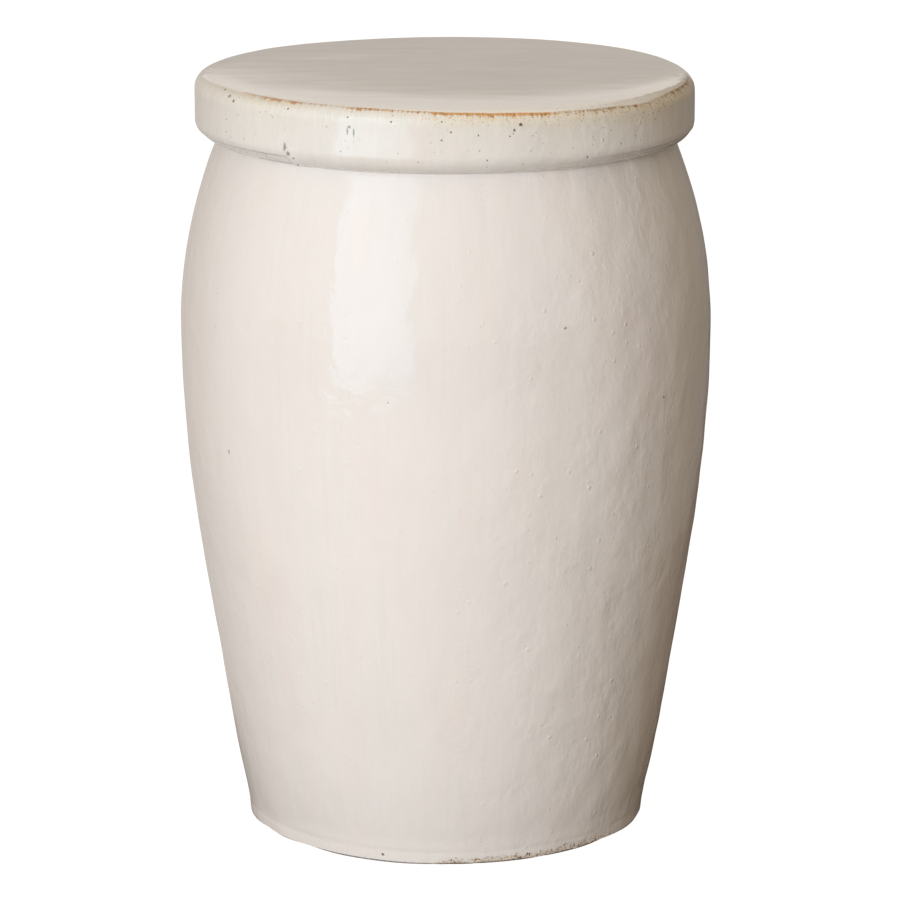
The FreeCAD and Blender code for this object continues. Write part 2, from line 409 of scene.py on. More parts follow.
@dataclass(frozen=True)
class HandShape:
    """How the hand-made stool strays from a true turned shape, clay and glaze together."""

    sizes: StoolSizes
    rim_shift: float = -0.9 * MM
    # Every 30 degrees from the back, round by the left-hand side
    edge_drop: TurnProfile = TurnProfile(
        (-0.7, -0.9, -0.1, 0.0, -0.4, -0.9, -1.1, -1.3, -1.5, -1.3, 0.0, 0.0),
    )
    edge_softness: TurnProfile = TurnProfile((0.2, 0.2, 0.2, 0.0, 0.0, 0.0, 0.3, 1.2, 2.0, 1.2, 0.0, 0.0))
    edge_roll: TurnProfile = TurnProfile((0.1, 0.1, 0.2, 0.5, 0.6, 0.5, 0.3, 0.6, 0.8, 0.4, 0.0, 0.0))
    # Degrees from the front, spread in degrees and lift in millimetres
    foot_lifts: tuple[tuple[float, float, float], ...] = (
        (-62, 8, 1.3), (-44, 7, 0.9), (54, 8, 0.9), (150, 20, 0.8),
    )
    foot_lift_height: float = 14 * MM
    edge_slope_width: float = 50 * MM
    calm_middle: tuple[float, float] = (50 * MM, 110 * MM)
    edge_drop_depth: float = 8 * MM
    soft_width: float = 7.5 * MM
    roll_width: float = 15 * MM
    out_of_round: float = 0.16 * MM
    wall_lump: float = 0.36 * MM

    def settle(self, points: np.ndarray) -> np.ndarray:
        """Moves points of the true turned shape to where the real stool has them.

        Args:
            points: Points, with their coordinates in the last direction.

        Returns:
            The moved points, in the same shape.
        """
        sizes = self.sizes
        x, y, z = points[..., 0], points[..., 1], points[..., 2]
        radius = np.maximum(np.hypot(x, y), 1e-9)
        angles = np.arctan2(x, -y)
        in_rim = ease(z, sizes.neck_height, sizes.neck_height + sizes.rim_roll)
        swell = self.out_of_round * (RoundLumps(11, 9, 95 * MM).on(angles, z) - 1.2)
        swell = swell + self.wall_lump * (RoundLumps(12, 32, 36 * MM).on(angles, z) - 0.6)
        swell = swell * (1 - in_rim) * ease(radius, *self.calm_middle)
        swell = np.minimum(swell, np.maximum(sizes.belly_radius - radius, 0.0))
        out, up = self.soften_edge(angles, radius, z)
        scale = (radius + swell + out) / radius
        drop = self.edge_drop.at(angles) * ease(z, sizes.slab_underside - self.edge_drop_depth, sizes.height)
        dish = sizes.seat_radius - self.edge_slope_width
        near_edge = np.clip((radius - dish) / (sizes.rim_radius - dish), 0.0, 1.0) ** 2
        crown = np.clip((radius - sizes.seat_radius) / self.roll_width + 1, 0.0, 1.0) ** 2
        crown = crown * ease(radius, sizes.rim_radius, sizes.seat_radius)
        crown = crown * ease(z, sizes.corner_height, sizes.height)
        degrees = np.degrees(angles)
        lift = sum(bell(degrees, centre, spread) * high * MM for centre, spread, high in self.foot_lifts)
        lift = lift * ease(z, self.foot_lift_height, 0.0)
        moved_z = z + up + drop * near_edge + lift - self.edge_roll.at(angles) * crown
        return np.stack([x * scale + self.rim_shift * in_rim, y * scale, moved_z], axis=-1)

    def soften_edge(self, angles: np.ndarray, radius: np.ndarray,
                    z: np.ndarray) -> tuple[np.ndarray, np.ndarray]:
        """Draws the seat's edge in where it is rounder than its section.

        Args:
            angles: Angles round the stool.
            radius: Radii of the points.
            z: Heights of the points.

        Returns:
            The move outwards and the move upwards.
        """
        sizes = self.sizes
        outwards = radius - sizes.seat_radius
        upwards = z - sizes.corner_height
        reach = np.maximum(np.hypot(outwards, upwards), 1e-6)
        middle = sizes.corner * math.sqrt(0.5)
        far = np.hypot(outwards - middle, upwards - middle)
        share = bell(far, 0.0, self.soft_width) * ease(z, sizes.neck_height, sizes.slab_underside)
        depth = self.edge_softness.at(angles) * (math.sqrt(2) - 1) * share
        return -depth * np.maximum(outwards, 0) / reach, -depth * np.maximum(upwards, 0) / reach


# Turned meshes


def turn_angles(segments: int) -> np.ndarray:
    """Evenly spaced angles round the stool, from the back, in one row."""
    return (np.arange(segments) / segments * math.tau - math.pi)[None, :]


def turn_points(rows: np.ndarray, segments: int) -> np.ndarray:
    """Turns a half section about the axis.

    Args:
        rows: Rows of radius and height.
        segments: Points in a full turn.

    Returns:
        Points in rows, from the back round by the left-hand side.
    """
    angles = turn_angles(segments)
    radii = rows[:, :1]
    up = np.broadcast_to(rows[:, 1:], (len(rows), segments))
    return np.stack([radii * np.sin(angles), -radii * np.cos(angles), up], axis=-1)


def skin_normals(points: np.ndarray) -> np.ndarray:
    """Unit normals of a turned skin whose rows run outwards or upwards.

    Args:
        points: Points of the skin.

    Returns:
        A normal for each point.
    """
    around = np.roll(points, -1, axis=1) - np.roll(points, 1, axis=1)
    normals = np.cross(around, np.gradient(points, axis=0))
    return normals / np.maximum(np.linalg.norm(normals, axis=-1, keepdims=True), 1e-12)


def loop_faces(rows: int, segments: int, closed: bool) -> list[list[int]]:
    """Quads between the rows of a turned skin.

    Args:
        rows: Number of rows.
        segments: Points in a row.
        closed: Whether the last row joins the first.

    Returns:
        Four point numbers for each quad.
    """
    starts = np.arange(rows if closed else rows - 1)[:, None]
    ends = (starts + 1) % rows
    here = np.arange(segments)[None, :]
    beside = (here + 1) % segments
    corners = ((starts, here), (starts, beside), (ends, beside), (ends, here))
    quads = [row * segments + column for row, column in corners]
    return np.stack(np.broadcast_arrays(*quads), axis=-1).reshape(-1, 4).tolist()


def new_object(name: str, points: np.ndarray, faces: list[list[int]]) -> bpy.types.Object:
    """Makes a smooth-shaded mesh object in the scene.

    Args:
        name: Name of the piece.
        points: Points of the mesh.
        faces: Point numbers of each face.

    Returns:
        The new object.
    """
    mesh = bpy.data.meshes.new(name)
    mesh.from_pydata(points.reshape(-1, 3).tolist(), [], faces)
    mesh.shade_smooth()
    mesh.update()
    piece = bpy.data.objects.new(name, mesh)
    bpy.context.scene.collection.objects.link(piece)
    return piece


def closed_skin(name: str, points: np.ndarray) -> bpy.types.Object:
    """Makes a ring-shaped piece from rows that close on themselves."""
    return new_object(name, points, loop_faces(*points.shape[:2], True))


def join_caps(rows: np.ndarray) -> np.ndarray:
    """One list from rows whose first and last are one point each in truth, those two last."""
    return np.vstack([rows[1:-1].reshape(-1, 3), rows[0, :1], rows[-1, :1]])


def capped_skin(name: str, points: np.ndarray) -> bpy.types.Object:
    """Makes a disc-shaped piece from rows that start and end on the axis.

    Args:
        name: Name of the piece.
        points: Rows of points; the first and the last row are one point each in truth.

    Returns:
        The new object.
    """
    rows, segments = points.shape[:2]
    faces = loop_faces(rows - 2, segments, False)
    first = (rows - 2) * segments
    top = first - segments
    for here in range(segments):
        beside = (here + 1) % segments
        faces.append([first, beside, here])
        faces.append([top + here, top + beside, first + 1])
    return new_object(name, join_caps(points), faces)


def crease(piece: bpy.types.Object, degrees: float = 38.0) -> None:
    """Keeps edges sharper than an angle crisp."""
    piece.data.set_sharp_from_angle(angle=math.radians(degrees))


def dress(piece: bpy.types.Object, material: bpy.types.Material, node: str, slot: Slot) -> None:
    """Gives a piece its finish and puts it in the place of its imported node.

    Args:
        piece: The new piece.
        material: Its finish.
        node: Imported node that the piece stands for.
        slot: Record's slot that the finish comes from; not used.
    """
    piece.data.materials.append(material)
    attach(piece, BODY)
    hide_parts(node)
    LOG.info("%s: %d points, replaces %s", piece.name, len(piece.data.vertices), node)


# Shader expressions


def operator(operation: str, swapped: bool = False) -> Callable[["Shade", Any], "Shade"]:
    """Makes a method that joins two values through a Math node.

    Args:
        operation: Name of the node's operation.
        swapped: Whether the other value comes first.

    Returns:
        The method.
    """
    def join(self: "Shade", other: Any) -> "Shade":
        """Joins this value and another."""
        return self.math(operation, *((other, self) if swapped else (self, other)))

    return join


class Shade:
    """An output of a node, as a value that Python operators combine."""

    def __init__(self, sheet: "NodeSheet", socket: bpy.types.NodeSocket) -> None:
        """Keeps the node sheet and the output socket."""
        self.sheet = sheet
        self.socket = socket

    def math(self, operation: str, *values: Any, clamp: bool = False) -> "Shade":
        """Result of a Math node whose inputs are some values, in order."""
        settings = {"operation": operation, "use_clamp": clamp}
        return self.sheet.add("ShaderNodeMath", settings, dict(enumerate(values)))

    __add__, __radd__ = operator("ADD"), operator("ADD", True)
    __sub__, __rsub__ = operator("SUBTRACT"), operator("SUBTRACT", True)
    __mul__, __rmul__ = operator("MULTIPLY"), operator("MULTIPLY", True)
    __truediv__, __rtruediv__ = operator("DIVIDE"), operator("DIVIDE", True)
    # The larger value, the smaller value, and the angle whose tangent is this value over the other
    high, low, turn_to = operator("MAXIMUM"), operator("MINIMUM"), operator("ARCTAN2")

    def __neg__(self) -> "Shade":
        """The value with its sign turned."""
        return self.math("MULTIPLY", self, -1.0)

    def __abs__(self) -> "Shade":
        """The value without its sign."""
        return self.math("ABSOLUTE", self)

    def clamp(self) -> "Shade":
        """The value, kept between 0 and 1."""
        return self.math("ADD", self, 0.0, clamp=True)

    def root(self) -> "Shade":
        """Square root."""
        return self.math("SQRT", self)

    def ease(self, low: float, high: float) -> "Shade":
        """Smooth step from 0 at low to 1 at high, which may be the lower of the two.

        Args:
            low: Value that gives 0.
            high: Value that gives 1.

        Returns:
            The eased value.
        """
        start, end, first, last = (low, high, 0.0, 1.0) if low < high else (high, low, 1.0, 0.0)
        inputs = {"Value": self, "From Min": start, "From Max": end, "To Min": first, "To Max": last}
        return self.sheet.add("ShaderNodeMapRange", {"interpolation_type": "SMOOTHSTEP"}, inputs)


class NodeSheet:
    """The node tree of one material or of the world, filled through one method."""

    def __init__(self, owner: Any) -> None:
        """Empties the node tree of a material or world.

        Args:
            owner: The material or world.
        """
        owner.use_nodes = True
        self.tree = owner.node_tree
        self.tree.nodes.clear()

    def add(self, kind: str, settings: dict[str, Any], inputs: dict[Any, Any], output: Any = 0) -> Shade:
        """Adds a node.

        Args:
            kind: Type name of the node.
            settings: Its settings; "stops" gives a ramp's places and values.
            inputs: Values or links of its sockets, by identifier, name or number.
            output: Identifier, name or number of the output that is returned.

        Returns:
            The chosen output.
        """
        node = self.tree.nodes.new(kind)
        for name, value in settings.items():
            if name == "stops":
                self.set_stops(node.color_ramp, value)
            else:
                setattr(node, name, value)
        for key, value in inputs.items():
            socket = self.find(node.inputs, key)
            if isinstance(value, Shade):
                self.tree.links.new(value.socket, socket)
            elif isinstance(value, tuple) and socket.type == "RGBA":
                socket.default_value = (*value, 1.0)
            else:
                socket.default_value = value
        return Shade(self, self.find(node.outputs, output) if len(node.outputs) else None)

    @staticmethod
    def find(sockets: Any, key: Any) -> Any:
        """The socket with a number, an identifier or a name."""
        if isinstance(key, int):
            return sockets[key]
        return next(s for s in sockets if s.identifier == key or (s.name == key and s.enabled))

    @staticmethod
    def set_stops(ramp: Any, stops: Sequence[tuple[float, float]]) -> None:
        """Fills a smooth ramp with places from 0 to 1, each with a value.

        Args:
            ramp: The ramp.
            stops: The places and values.
        """
        ramp.interpolation = "EASE"
        while len(ramp.elements) < len(stops):
            ramp.elements.new(1.0)
        for element, (place, value) in zip(ramp.elements, stops):
            element.position = place
            element.color = (value, value, value, 1.0)

    @cached_property
    def place(self) -> Shade:
        """Place on the surface, in metres."""
        return self.add("ShaderNodeTexCoord", {}, {}, "Object")

    @cached_property
    def height(self) -> Shade:
        """Height above the floor."""
        return self.parts(self.place)[2]

    @cached_property
    def degrees(self) -> Shade:
        """Angle round the stool, in degrees from the front."""
        x, y, _ = self.parts(self.place)
        return x.turn_to(-y) * math.degrees(1.0)

    @cached_property
    def white_rays(self) -> Shade:
        """1 for the rays that see the background as white, and 0 for those that light the stool."""
        camera = self.add("ShaderNodeLightPath", {}, {}, "Is Camera Ray")
        outputs = camera.socket.node.outputs
        glossy, clear = (Shade(self, outputs[f"Is {kind} Ray"]) for kind in ("Glossy", "Transmission"))
        return camera.high(glossy).high(clear)

    def reach(self, shift: float = 0.0) -> Shade:
        """Distance from the axis, or from an axis that is shifted sideways.

        Args:
            shift: How far the axis is shifted.

        Returns:
            The distance.
        """
        x, y, _ = self.parts(self.place)
        x = x - shift if shift else x
        return (x * x + y * y).root()

    def parts(self, vector: Shade) -> tuple[Shade, Shade, Shade]:
        """The three coordinates of a vector.

        Args:
            vector: The vector.

        Returns:
            The coordinates.
        """
        first = self.add("ShaderNodeSeparateXYZ", {}, {0: vector})
        outputs = first.socket.node.outputs
        return first, Shade(self, outputs[1]), Shade(self, outputs[2])

    def vector(self, operation: str, first: Any, second: Any, output: Any = 0) -> Shade:
        """Output of a Vector Math node that joins two vectors."""
        return self.add("ShaderNodeVectorMath", {"operation": operation}, {0: first, 1: second}, output)

    def mix(self, share: Any, first: Any, second: Any, blend: str = "MIX") -> Shade:
        """Mixes two colours.

        Args:
            share: How much of the second colour shows.
            first: First colour.
            second: Second colour.
            blend: Name of the way to blend.

        Returns:
            The mixed colour.
        """
        settings = {"data_type": "RGBA", "blend_type": blend}
        inputs = {"Factor_Float": share, "A_Color": first, "B_Color": second}
        return self.add("ShaderNodeMix", settings, inputs, "Result_Color")

    def cover(self, colour: Any, *films: tuple[Any, Any]) -> Shade:
        """A colour under films, each given as the share that it covers and its own colour."""
        for share, tint in films:
            colour = self.mix(share, colour, tint)
        return colour

    def curve(self, value: Shade, stops: Sequence[tuple[float, float]], scale: float) -> Shade:
        """Reads a smooth curve.

        Args:
            value: Where it is read, from 0 to 1.
            stops: Places from 0 to 1, each with a value.
            scale: Largest value of the stops, or more.

        Returns:
            The curve's value.
        """
        parts = [(place, level / scale) for place, level in stops]
        return self.add("ShaderNodeValToRGB", {"stops": parts}, {0: value}, "Color") * scale

    def noise(self, vector: Shade, size_mm: float, detail: float = 2.0, rough: float = 0.5) -> Shade:
        """Smooth noise about 0, mostly between -0.5 and 0.5.

        Args:
            vector: Place where the noise is read.
            size_mm: Size of its lumps in millimetres.
            detail: Number of finer layers.
            rough: Strength of each finer layer.

        Returns:
            The noise.
        """
        inputs = {"Vector": vector, "Scale": 1 / (size_mm * MM), "Detail": detail, "Roughness": rough}
        return self.add("ShaderNodeTexNoise", {}, inputs, "Fac") - 0.5

    def wrapped(self, radius: float, stretch: float) -> Shade:
        """Place wrapped to one radius and squeezed upwards, so that noise on it becomes tall.

        Args:
            radius: Radius that the place is wrapped to.
            stretch: How much taller than wide the noise becomes.

        Returns:
            The wrapped place.
        """
        x, y, z = self.parts(self.place)
        reach = (x * x + y * y).root().high(1e-4)
        inputs = {0: x / reach * radius, 1: y / reach * radius, 2: z / stretch}
        return self.add("ShaderNodeCombineXYZ", {}, inputs)

    def bump(self, relief: Shade) -> Shade:
        """Normal of a surface whose height is given in millimetres."""
        return self.add("ShaderNodeBump", {}, {"Height": relief, "Strength": 1.0, "Distance": MM}, "Normal")

    def surface(self, kind: str, inputs: dict[Any, Any]) -> None:
        """Ends the sheet of a material with one shader."""
        shader = self.add(kind, {}, inputs)
        self.add("ShaderNodeOutputMaterial", {}, {"Surface": shader})

    def glow(self, tint: Any, level: Shade, strength: float = 1.0) -> None:
        """Ends the sheet of a material that only glows."""
        colour = self.mix(1.0, tint, level, "MULTIPLY")
        self.surface("ShaderNodeEmission", {"Color": colour, "Strength": strength})


# Marks in the glaze


class Stain(Enum):
    """Kinds of mark in the glaze."""

    IRON = "iron speck"
    PIT = "dark pit"
    DRIP = "blue-grey drip"


def plan_place(degrees: float, reach: float) -> tuple[float, float]:
    """Place in plan at an angle from the front and a distance from the axis."""
    turn = math.radians(degrees)
    return reach * math.sin(turn), -reach * math.cos(turn)


@dataclass(frozen=True)
class Mark:
    """A speck, pit or short streak, at an angle in degrees and a height in millimetres."""

    angle: float
    height: float
    radius: float
    tall: float = 1.0

    def mask(self, sheet: NodeSheet, reach: float, wobble: Shade) -> Shade:
        """How much of the mark covers the surface, from 0 to 1.

        Args:
            sheet: Node sheet of the finish.
            reach: Radius of the surface where the mark lies.
            wobble: Noise that makes the mark's edge uneven.

        Returns:
            The mask.
        """
        offset = sheet.vector("SUBTRACT", sheet.place, (*plan_place(self.angle, reach), self.height * MM))
        squeezed = sheet.vector("MULTIPLY", offset, (1.0, 1.0, 1.0 / self.tall))
        distance = sheet.add("ShaderNodeVectorMath", {"operation": "LENGTH"}, {0: squeezed}, "Value")
        return (distance * wobble).ease(self.radius * 1.15 * MM, self.radius * 0.70 * MM)


RIM_MARKS = {
    Stain.IRON: (
        Mark(-58, 456, 1.1), Mark(-55.5, 454, 1.2), Mark(-62.5, 458.5, 1.0, 2.4), Mark(-37.5, 455, 0.7),
        Mark(-38, 443, 0.6), Mark(-22, 453.5, 0.6), Mark(-12, 452, 0.6), Mark(-1, 452.5, 0.7),
        Mark(1, 446.5, 0.6), Mark(7, 444.5, 0.6), Mark(15, 447, 0.95), Mark(14, 443.5, 0.6),
        Mark(28.5, 445, 0.5), Mark(-45, 425, 0.8),
    ),
    Stain.PIT: (
        Mark(16.5, 450, 1.2), Mark(37, 444, 0.6), Mark(46.5, 453, 1.0, 1.8), Mark(42.5, 433.5, 0.7),
        Mark(33, 428, 0.7), Mark(9, 430, 0.5), Mark(-36, 422.5, 0.8),
    ),
    Stain.DRIP: (
        Mark(-38, 433, 1.2, 2.6), Mark(-37, 429.5, 1.7), Mark(-36, 427, 0.9), Mark(-20.5, 445, 0.6, 4.6),
        Mark(-22, 445.5, 0.6, 4.0), Mark(-21.5, 448, 1.0), Mark(-1, 442, 0.7),
    ),
}
WALL_SPECKS = (
    Mark(-43, 328.5, 0.6), Mark(-12, 291, 0.6), Mark(-54, 246.5, 0.8, 2.2), Mark(25.5, 332, 1.0),
    Mark(53, 280.5, 1.0), Mark(-18, 5, 1.0),
)


def marks_mask(sheet: NodeSheet, marks: Sequence[Mark], radius_at: Callable[[float], float]) -> Shade:
    """The joint mask of some marks.

    Args:
        sheet: Node sheet of the finish.
        marks: The marks.
        radius_at: Gives the surface's radius at a height.

    Returns:
        The mask.
    """
    wobble = 1.0 + 1.1 * sheet.noise(sheet.place, 1.0, 1.0)
    return reduce(Shade.high, [mark.mask(sheet, radius_at(mark.height * MM), wobble) for mark in marks])


def stray_specks(sheet: NodeSheet, cell: float, radius: float, share: float, shift: float) -> Shade:
    """Small specks strewn at random through the glaze.

    Args:
        sheet: Node sheet of the finish.
        cell: Mean distance between possible specks.
        radius: Largest radius of a speck.
        share: Share of the places that hold a speck.
        shift: Offset that makes one strewing differ from the next.

    Returns:
        The mask of the specks.
    """
    moved = sheet.vector("ADD", sheet.place, (shift, 0.0, 0.0))
    distance = sheet.add("ShaderNodeTexVoronoi", {}, {"Vector": moved, "Scale": 1 / cell}, "Distance")
    chance, size, _ = sheet.parts(Shade(sheet, distance.socket.node.outputs["Color"]))
    limit = (0.4 + 0.6 * size) * (radius / cell)
    inside = ((limit - distance) / (0.4 * radius / cell)).clamp()
    return inside * chance.ease(1 - share, 1 - share + 0.01)


# Finishes


def new_finish(name: str) -> tuple[bpy.types.Material, NodeSheet]:
    """Makes an empty material and its node sheet."""
    material = bpy.data.materials.new(name)
    return material, NodeSheet(material)


@dataclass(frozen=True)
class GlazeFinish:
    """Warm white gloss glaze, streaked upwards and speckled with iron."""

    name: str
    radius: float
    colour: Colour
    warm: Colour
    cool: Colour
    fine_streak: float
    broad_streak: float
    streak_length: float = 18.0
    gloss_roughness: float = 0.06
    refraction: float = 1.5
    iron: Colour = (0.15, 0.055, 0.014)
    dark: Colour = (0.045, 0.035, 0.030)
    # Colour of the painted contact shadow along the foot's lowest edge
    contact_shadow_colour: Colour = (0.085, 0.075, 0.07)
    blue_grey: Colour = (0.20, 0.235, 0.225)
    # Whitish colour of the painted light along the seat's front edge
    lit_edge_colour: Colour = (0.88, 0.85, 0.81)
    peel_mm: float = 0.07
    dimple_mm: float = 0.50
    pimple_mm: float = 0.22
    calm_share: float = 0.45

    def ground(self, sheet: NodeSheet) -> Shade:
        """Colour of the glaze away from edges and marks.

        Args:
            sheet: Node sheet of the finish.

        Returns:
            The colour.
        """
        fine = sheet.noise(sheet.wrapped(self.radius, self.streak_length), 1.2, 3.0, 0.6)
        broad = sheet.noise(sheet.wrapped(self.radius, 3.0), 9, 3.0, 0.6)
        warmth = sheet.noise(sheet.wrapped(self.radius, 3.5), 34).ease(-0.02, 0.22)
        cold = sheet.noise(sheet.wrapped(self.radius + 1.0, 3.0), 27).ease(0.02, 0.24)
        tinted = sheet.cover(self.colour, (warmth, self.warm), (cold * 0.8, self.cool))
        strength = 1.0 + self.fine_streak * fine + self.broad_streak * broad
        return sheet.mix(1.0, tinted, strength, "MULTIPLY")

    def relief(self, sheet: NodeSheet) -> Shade:
        """Height of the glaze's fine skin, calmer at the left.

        Args:
            sheet: Node sheet of the finish.

        Returns:
            The height in millimetres.
        """
        patches = sheet.noise(sheet.place, 26, 1.0).ease(-0.10, 0.12)
        to_right = sheet.degrees.ease(-15.0, 25.0)
        rough = self.calm_share + (1 - self.calm_share) * to_right * (0.3 + 0.9 * patches)
        peel = sheet.noise(sheet.place, 2.6, 1.0)
        dimples = sheet.noise(sheet.wrapped(self.radius, 1.2), 7.0)
        brushed = sheet.noise(sheet.wrapped(self.radius, 4.0), 1.7, 1.0)
        pimples = stray_specks(sheet, 7.0 * MM, 1.7 * MM, 0.45, 1.7)
        skin = self.peel_mm * peel + self.dimple_mm * dimples + self.peel_mm * 0.4 * brushed
        return (skin + self.pimple_mm * pimples) * rough

    def finish(self, sheet: NodeSheet, colour: Shade, relief: Shade, broken: Any = 0.0) -> None:
        """Joins colour and relief in a glossy surface.

        Args:
            sheet: Node sheet of the finish.
            colour: Colour of the surface.
            relief: Height of the surface in millimetres.
            broken: What bare or broken places add to the roughness.
        """
        rough = (self.gloss_roughness + 0.06 * sheet.noise(sheet.place, 16, 3.0) + broken).clamp()
        inputs = {"Base Color": colour, "Roughness": rough, "Normal": sheet.bump(relief)}
        sheet.surface("ShaderNodeBsdfPrincipled", {**inputs, "IOR": self.refraction})


@dataclass(frozen=True)
class WallGlazeFinish(GlazeFinish):
    """Glaze of the barrel wall, wiped thin above the foot."""

    # Painted light and shade by height: heights in millimetres, each with how bright the glaze is painted
    # there
    painted_light_by_height: Stops = ((0, 0.98), (60, 0.99), (165, 1.025), (250, 1.01), (330, 0.97), (440, 0.96))
    bare_band_mm: float = 3.6
    clay: Colour = (0.50, 0.35, 0.23)
    crumb: Colour = (0.84, 0.76, 0.66)

    def make(self, outline: WallOutline) -> bpy.types.Material:
        """Makes the material.

        Args:
            outline: The barrel's outline, on which the marks lie.

        Returns:
            The material.
        """
        material, sheet = new_finish(self.name)
        z = sheet.height
        top = self.painted_light_by_height[-1][0]
        # Painted light and shade: the glaze is brighter about the middle and darker at the top and the foot
        level = sheet.curve(z / (top * MM), [(height / top, value) for height, value in self.painted_light_by_height], 2.0)
        specks = marks_mask(sheet, WALL_SPECKS, lambda height: outline.at(height, 0.0))
        strays = stray_specks(sheet, 12 * MM, 0.5 * MM, 0.5, 0.0)
        crumbs = self.crumbled_foot(sheet)
        grain = sheet.noise(sheet.place, 1.3, 3.0, 0.65)
        chips = sheet.mix(grain.ease(-0.10, 0.03), self.clay, self.crumb)
        chips = sheet.mix(grain.ease(-0.06, -0.16), chips, self.iron)
        # Painted contact shadow: the coat's lowest millimetre or so is darkened where the floor shades the
        # foot
        contact_shadow = (z + 0.8 * MM * grain).ease(1.6 * MM, 0.8 * MM) * 0.85
        colour = sheet.cover(
            sheet.mix(1.0, self.ground(sheet), level, "MULTIPLY"),
            (specks * 0.85, self.iron), (strays * 0.45, self.iron), (crumbs, chips), (contact_shadow, self.contact_shadow_colour),
        )
        relief = self.relief(sheet) - 0.10 * specks - 0.04 * strays + 1.4 * crumbs * grain
        self.finish(sheet, colour, relief, 0.45 * crumbs)
        return material

    def crumbled_foot(self, sheet: NodeSheet) -> Shade:
        """Where glaze has crumbled off the foot and shows clay.

        Args:
            sheet: Node sheet of the finish.

        Returns:
            The mask.
        """
        place = sheet.degrees.ease(-14.0, 6.0) * sheet.degrees.ease(70.0, 46.0)
        top = (self.bare_band_mm + 18.0 * sheet.noise(sheet.place, 2.4, 4.0, 0.75)) * place * MM
        return ((top - sheet.height) / (0.5 * MM)).clamp()


@dataclass(frozen=True)
class SeatGlazeFinish(GlazeFinish):
    """Glaze of the seat, with faint swirls from the brush."""

    swirl: float = 0.22

    def swirls(self, sheet: NodeSheet) -> Shade:
        """Noise drawn out sideways, as a wide brush leaves it."""
        return sheet.noise(sheet.vector("MULTIPLY", sheet.place, (0.16, 1.0, 1.0)), 9, 4.0, 0.6)

    def lit_front_edge_share(self, sheet: NodeSheet) -> Shade:
        """How much painted light whitens the seat's edge, along its front."""
        near = sheet.reach().ease(self.radius - 13 * MM, self.radius - 1 * MM)
        return near * sheet.degrees.ease(-88.0, -56.0) * sheet.degrees.ease(104.0, 76.0)

    def ground(self, sheet: NodeSheet) -> Shade:
        """Colour of the glaze away from its specks.

        Args:
            sheet: Node sheet of the finish.

        Returns:
            The colour.
        """
        clouds = sheet.noise(sheet.place, 48)
        # Painted light: the seat's front edge is whitened where its rounding turns towards the light
        lit_front_edge = self.lit_front_edge_share(sheet) * 0.6
        tint = sheet.cover(self.colour, (clouds.ease(-0.05, 0.25), self.warm), (lit_front_edge, self.lit_edge_colour))
        strength = 1.0 + self.swirl * self.swirls(sheet) + self.broad_streak * clouds
        return sheet.mix(1.0, tint, strength, "MULTIPLY")

    def make(self) -> bpy.types.Material:
        """Makes the material."""
        material, sheet = new_finish(self.name)
        strays = stray_specks(sheet, 9 * MM, 0.5 * MM, 0.25, 0.6)
        colour = sheet.mix(strays * 0.5, self.ground(sheet), self.iron)
        peel = sheet.noise(sheet.place, 2.6, 1.0)
        self.finish(sheet, colour, 0.3 * self.peel_mm * peel + 0.05 * self.swirls(sheet) - 0.04 * strays)
        return material


